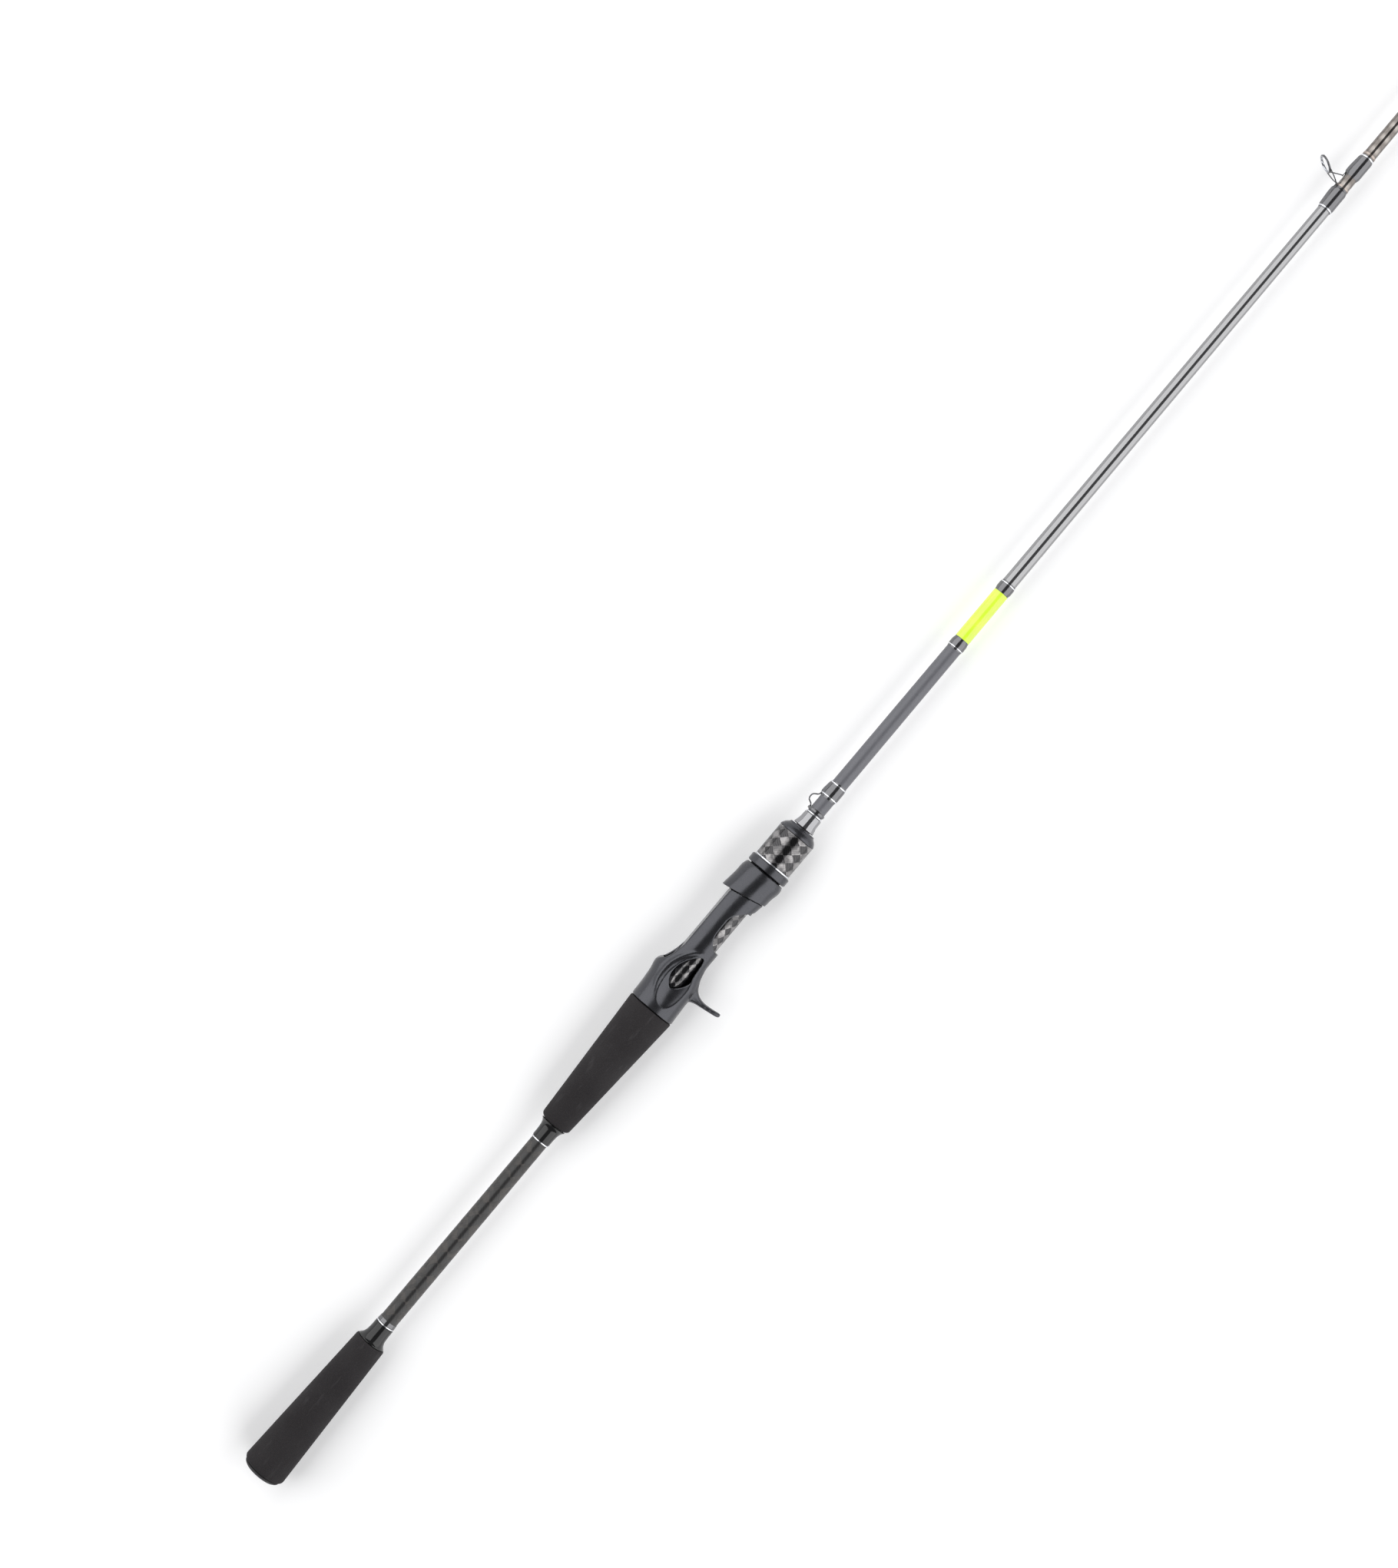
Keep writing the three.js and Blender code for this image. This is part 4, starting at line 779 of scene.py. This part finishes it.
def brow_meshes(shell):
    """The raised edge that sweeps over each flank window and down to the nose under the deck."""
    path = [(6, 4.6), (10.35, 7.2), (17.1, 9.6), (26.1, 9.9), (34, 7.5), (41.0, 2.9), (44.6, -2.6),
            (45.4, -7.2)]
    shell.data.update()
    reach = bpy.context.evaluated_depsgraph_get()
    tubes = []
    for side in (1, -1):
        points = []
        for x, y in flowing(path, 6):
            start = Vector((*in_seat(x, y), side * 0.05))
            hit, place, _, _ = shell.ray_cast(start, Vector((0, 0, -side)), depsgraph=reach)
            if hit:
                points.append(Vector((start.x, start.y, place.z - side * 0.75 * MM)))
        rings = []
        for i, p in enumerate(points):
            ahead = (points[min(i + 1, len(points) - 1)] - points[max(i - 1, 0)]).normalized()
            across = ahead.cross(Vector((0, 0, 1))).normalized()
            swell = math.sin(math.pi * (i + 1) / (len(points) + 1)) ** 0.5
            radius = (0.3 + 1.15 * swell) * MM
            rings.append([p + radius * (across * math.cos(t) + ahead.cross(across) * math.sin(t))
                          for t in np.linspace(0, 2 * math.pi, 20, endpoint=False)])
        tubes.append(skin("brow", rings))
    return tubes


def build_seat():
    scooped = new_piece("seat_base", seat_shell())
    for side in (1, -1):
        cut(scooped, thumb_scoop(side))
    shell = fuse("shell_and_trigger", [scooped.data, trigger_mesh(), *brow_meshes(scooped)], 0.45 * MM, 7)
    bpy.data.objects.remove(scooped)
    pocket = box_mesh(*(in_seat(x, 0)[0] for x in (21.5, 42)), DECK - STEP, DECK + POCKET - STEP, POCKET_HALF)
    for tool in (ahead_of_slant(SHOULDER), deck_cut(), pocket, flank_window(), underside_window(),
                 bore_plug(SEAT_X - 0.005, SHOULDER + 0.03, SEAT_BORE)):
        cut(shell, tool)
    seat = fuse("reel_seat_moulding", [shell.data], 0.36 * MM, 5)
    bpy.data.objects.remove(shell)
    finish_piece(seat, ["reel_seat_body"], LOOKS["seat_grey"])


def build_barrel():
    """The threaded tube that the nut climbs, with its ridge."""
    end = high_x("reel_seat_body")
    start = SHOULDER - 7 * MM
    thread_from = SEAT_X + 98 * MM
    inside = SEAT_BORE + 0.02 * MM
    outline = [(start, BARREL_ROOT), (start, BARREL_CREST), (thread_from, BARREL_CREST),
               (thread_from + 0.5 * MM, BARREL_ROOT), (end, BARREL_ROOT), (end, inside), (start, inside)]
    core = turned_mesh("barrel_core", outline, 128)
    root, crest = 8.7, BARREL_CREST / MM  # the ridge starts a little inside the core
    ridge_from = thread_from + 1.9 * MM
    turns = (end - thread_from - 3.8 * MM) / THREAD_PITCH
    rings = []
    total = int(turns * THREAD_STEPS)
    for i in range(total + 1):
        angle = 2 * math.pi * i / THREAD_STEPS
        swell = min(1, i / 12, (total - i) / 12)
        ring = []
        for dx, r in ((-0.95, root), (0.95, root), (0.55, crest), (-0.55, crest)):
            radius = root + (r - root) * max(swell, 0.05)
            ring.append((ridge_from + THREAD_PITCH * i / THREAD_STEPS + dx * MM,
                         radius * MM * math.cos(angle), radius * MM * math.sin(angle)))
        rings.append(ring)
    barrel = new_piece("seat_barrel", core)
    ridge = skin("ridge", rings)
    work = bmesh.new()
    work.from_mesh(core)
    work.from_mesh(ridge)
    work.to_mesh(core)
    work.free()
    smooth_shade(core)
    core.materials.append(LOOKS["seat_grey"])
    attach(barrel, "rod_butt")


def hood_skin(inset):
    s, top, drop, r = SHOULDER, 15.75, 12.15, 13.4
    stations = [
        (-8, top + 0.2, drop - 0.2, r - 1.2), (-1, top - 0.35, drop, r - 0.7),
        (7, top - 1.3, r - 0.7, r - 0.2), (16.5, r, r, r), (17.5, r - 0.5, r - 0.5, r - 0.5),
    ]
    stations = [(s + a * MM, (b - inset) * MM, (inset - c) * MM, (d - inset) * MM)
                for a, b, c, d in stations]
    return skin("hood_skin", loft_rings(stations, 2.05, 144, 0.5 * MM))


def build_hood():
    s = SHOULDER
    base = new_piece("hood_base", hood_skin(0))
    keep_common(base, ahead_of_slant(s + 0.3 * MM))
    lip, groove = HOOD_FRONT - 1.7 * MM, HOOD_FRONT - 4.4 * MM
    start, end = s - 0.02, s + 0.04
    bore, groove_r, lip_r = 10 * MM, 11.8 * MM, 11.1 * MM
    outline = [(start, 0), (start, bore), (groove, bore), (groove, groove_r), (lip, groove_r),
               (lip, lip_r), (end, lip_r), (end, 0)]
    inside = turned_mesh("inside", outline, 96)
    ceiling = DECK + POCKET - STEP
    room = new_piece("pocket_room", plate("pocket", [
        (s - 0.02, 4 * MM), (s + 8.5 * MM, 4 * MM), (s + 8.5 * MM, ceiling - 2.4 * MM),
        (s + 2.6 * MM, ceiling), (s - 0.02, ceiling)], POCKET_HALF))
    keep_common(room, hood_skin(1.1))
    for tool in (inside, room.data):
        cut(base, tool)
    bpy.data.objects.remove(room)
    hood = fuse("hood_moulding", [base.data], 0.3 * MM, 4)
    bpy.data.objects.remove(base)
    finish_piece(hood, ["moving_hood"], LOOKS["seat_grey"])


def build_nut_core():
    core = fuse("nut_thread", [NODES["nut_core"].data.copy()], 0.3 * MM, 2)
    finish_piece(core, ["nut_core"], LOOKS["seat_grey"])


build_seat()
build_barrel()
build_hood()
build_nut_core()


# ------------------------------------------------------------------ wraps and trim

def spun(name, outline_at, sides=72):
    """A closed skin round the rod: outline_at(angle) gives its (x, radius) outline there."""
    rings = []
    for i in range(sides):
        turn = 2 * math.pi * i / sides
        rings.append([(x, r * math.cos(turn), r * math.sin(turn)) for x, r in outline_at(turn)])
    return skin(name, rings, closed_tube=True)


def surface_radius(node, x):
    """Outside radius of a blank section at x."""
    outline = meridian(node)
    hit = 0.0
    for (x0, r0), (x1, r1) in zip(outline, outline[1:] + outline[:1]):
        if x0 != x1 and min(x0, x1) <= x <= max(x0, x1):
            hit = max(hit, r0 + (r1 - r0) * (x - x0) / (x1 - x0))
    return hit


def thread_wrap(node, body_node, full, bulge=0.0, bulge_side=0.0):
    """Varnished thread: thin at both ends, full in the middle, swollen over a foot at +Y."""
    lo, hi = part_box(node)
    x0, x1 = lo.x, hi.x
    r0, r1 = (surface_radius(body_node, x) for x in (x0, x1))
    shoulder = min(2.4 * MM, (x1 - x0) / 3)
    count = 26

    def outline(turn):
        over_foot = math.exp(-(math.remainder(turn, 2 * math.pi) / 0.42) ** 2)
        points = []
        for k in range(count + 1):
            t = k / count
            x = x0 + (x1 - x0) * t
            rise = min(1, min(x - x0, x1 - x) / shoulder)
            rise = rise * rise * (3 - 2 * rise)
            inward = (x - x0 if bulge_side > 0 else x1 - x) / (x1 - x0)
            lean = min(1, max(0, inward * 1.6)) if bulge_side else 1
            skin_r = r0 + (r1 - r0) * t
            points.append((x, skin_r + 0.12 * MM + rise * (full + bulge * over_foot * lean)))
        points += [(x1, r1 + 0.03 * MM), (x0, r0 + 0.03 * MM)]
        return points

    mesh = spun(node + "_wound", outline)
    smooth_shade(mesh, 45)
    piece = new_piece(node + "_wound", mesh)
    finish_piece(piece, [node], LOOKS["thread_wrap"])


def trim_line(name, x, width, radius, look, body):
    """A few turns of bright or coloured thread, laid flush round a wrap."""
    half = width / 2
    ring = rounded_outline([(x - half, radius), (x + half, radius), (x + half, radius - 0.3 * MM),
                            (x - half, radius - 0.3 * MM)], 0.1 * MM)
    mesh = turned_mesh(name, ring, 72)
    smooth_shade(mesh)
    mesh.materials.append(look)
    piece = new_piece(name, mesh)
    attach(piece, body)


BUTT, TIP = "blank_butt_section", "blank_tip_section"
thread_wrap("keeper_rear_wrap", BUTT, 0.55 * MM, 0.75 * MM)
thread_wrap("keeper_front_wrap", BUTT, 0.55 * MM, 0.75 * MM, -1)
for node in ("band_rear_wrap", "band_front_wrap"):
    thread_wrap(node, BUTT, 0.45 * MM)
thread_wrap("ferrule_wrap", TIP, 0.45 * MM)
thread_wrap("stripper_guide_wrap", BUTT, 0.6 * MM, 0.75 * MM, 1)
thread_wrap("stripper_guide_front_wrap", BUTT, 0.6 * MM, 0.75 * MM, -1)
for number in range(1, 9):
    node = f"running_guide_{number}_wrap"
    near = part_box(node)[1].x < low_x(TIP)
    thread_wrap(node, BUTT if near else TIP, 0.5 * MM, 0.6 * MM, 1)


SILVER, TAUPE = LOOKS["silver"], lacquer_look("taupe_thread", (0.36, 0.31, 0.28), 0.25)
for name, end, ahead, width, radius, look in (  # ahead of a wrap's end, width and radius in millimetres
    ("keeper_trim_rear", low_x("keeper_front_wrap"), 1.6, 0.7, 5.72, SILVER),
    ("keeper_trim_front", high_x("keeper_front_wrap"), -1.2, 0.7, 5.6, SILVER),
    ("band_trim_rear", low_x("band_rear_wrap"), 1.2, 0.6, 5.28, SILVER),
    ("band_trim_front", high_x("band_front_wrap"), -1.2, 0.6, 5.2, SILVER),
    ("guide_trim_rear", low_x("stripper_guide_wrap"), 1.0, 0.8, 4.6, SILVER),
    ("guide_trim_front", high_x("stripper_guide_front_wrap"), -1.0, 0.8, 4.55, SILVER),
    ("guide_taupe_rear", high_x("stripper_guide_wrap"), 0.7, 1.2, 4.3, TAUPE),
    ("guide_taupe_front", high_x("stripper_guide_front_wrap"), 1.3, 1.3, 4.25, TAUPE),
):
    trim_line(name, end + ahead * MM, width * MM, radius * MM, look, "rod_butt")


# ------------------------------------------------------------------ guides, keeper and tip

def fine_copy(node, voxel, rounds, look):
    piece = fuse(node + "_smoothed", [NODES[node].data.copy()], voxel, rounds)
    finish_piece(piece, [node], look)


GUIDES = ["stripper_guide"] + [f"running_guide_{n}" for n in range(1, 9)]
for frame_node, ring_node in [(g + "_frame", g + "_ring") for g in GUIDES] + [("tip_top", "tip_top_ring")]:
    fine_copy(frame_node, 0.14 * MM, 5, LOOKS["gunmetal"])
    ring = NODES[ring_node].data
    middle = sum((v.co for v in ring.vertices), Vector()) / len(ring.vertices)
    turn_again(ring_node, LOOKS["ring"], 0.1 * MM, 64, middle, GUIDE_TILT)
fine_copy("hook_keeper", 0.12 * MM, 4, LOOKS["gunmetal"])


# ------------------------------------------------------------------ scene

add_stage()
add_camera()
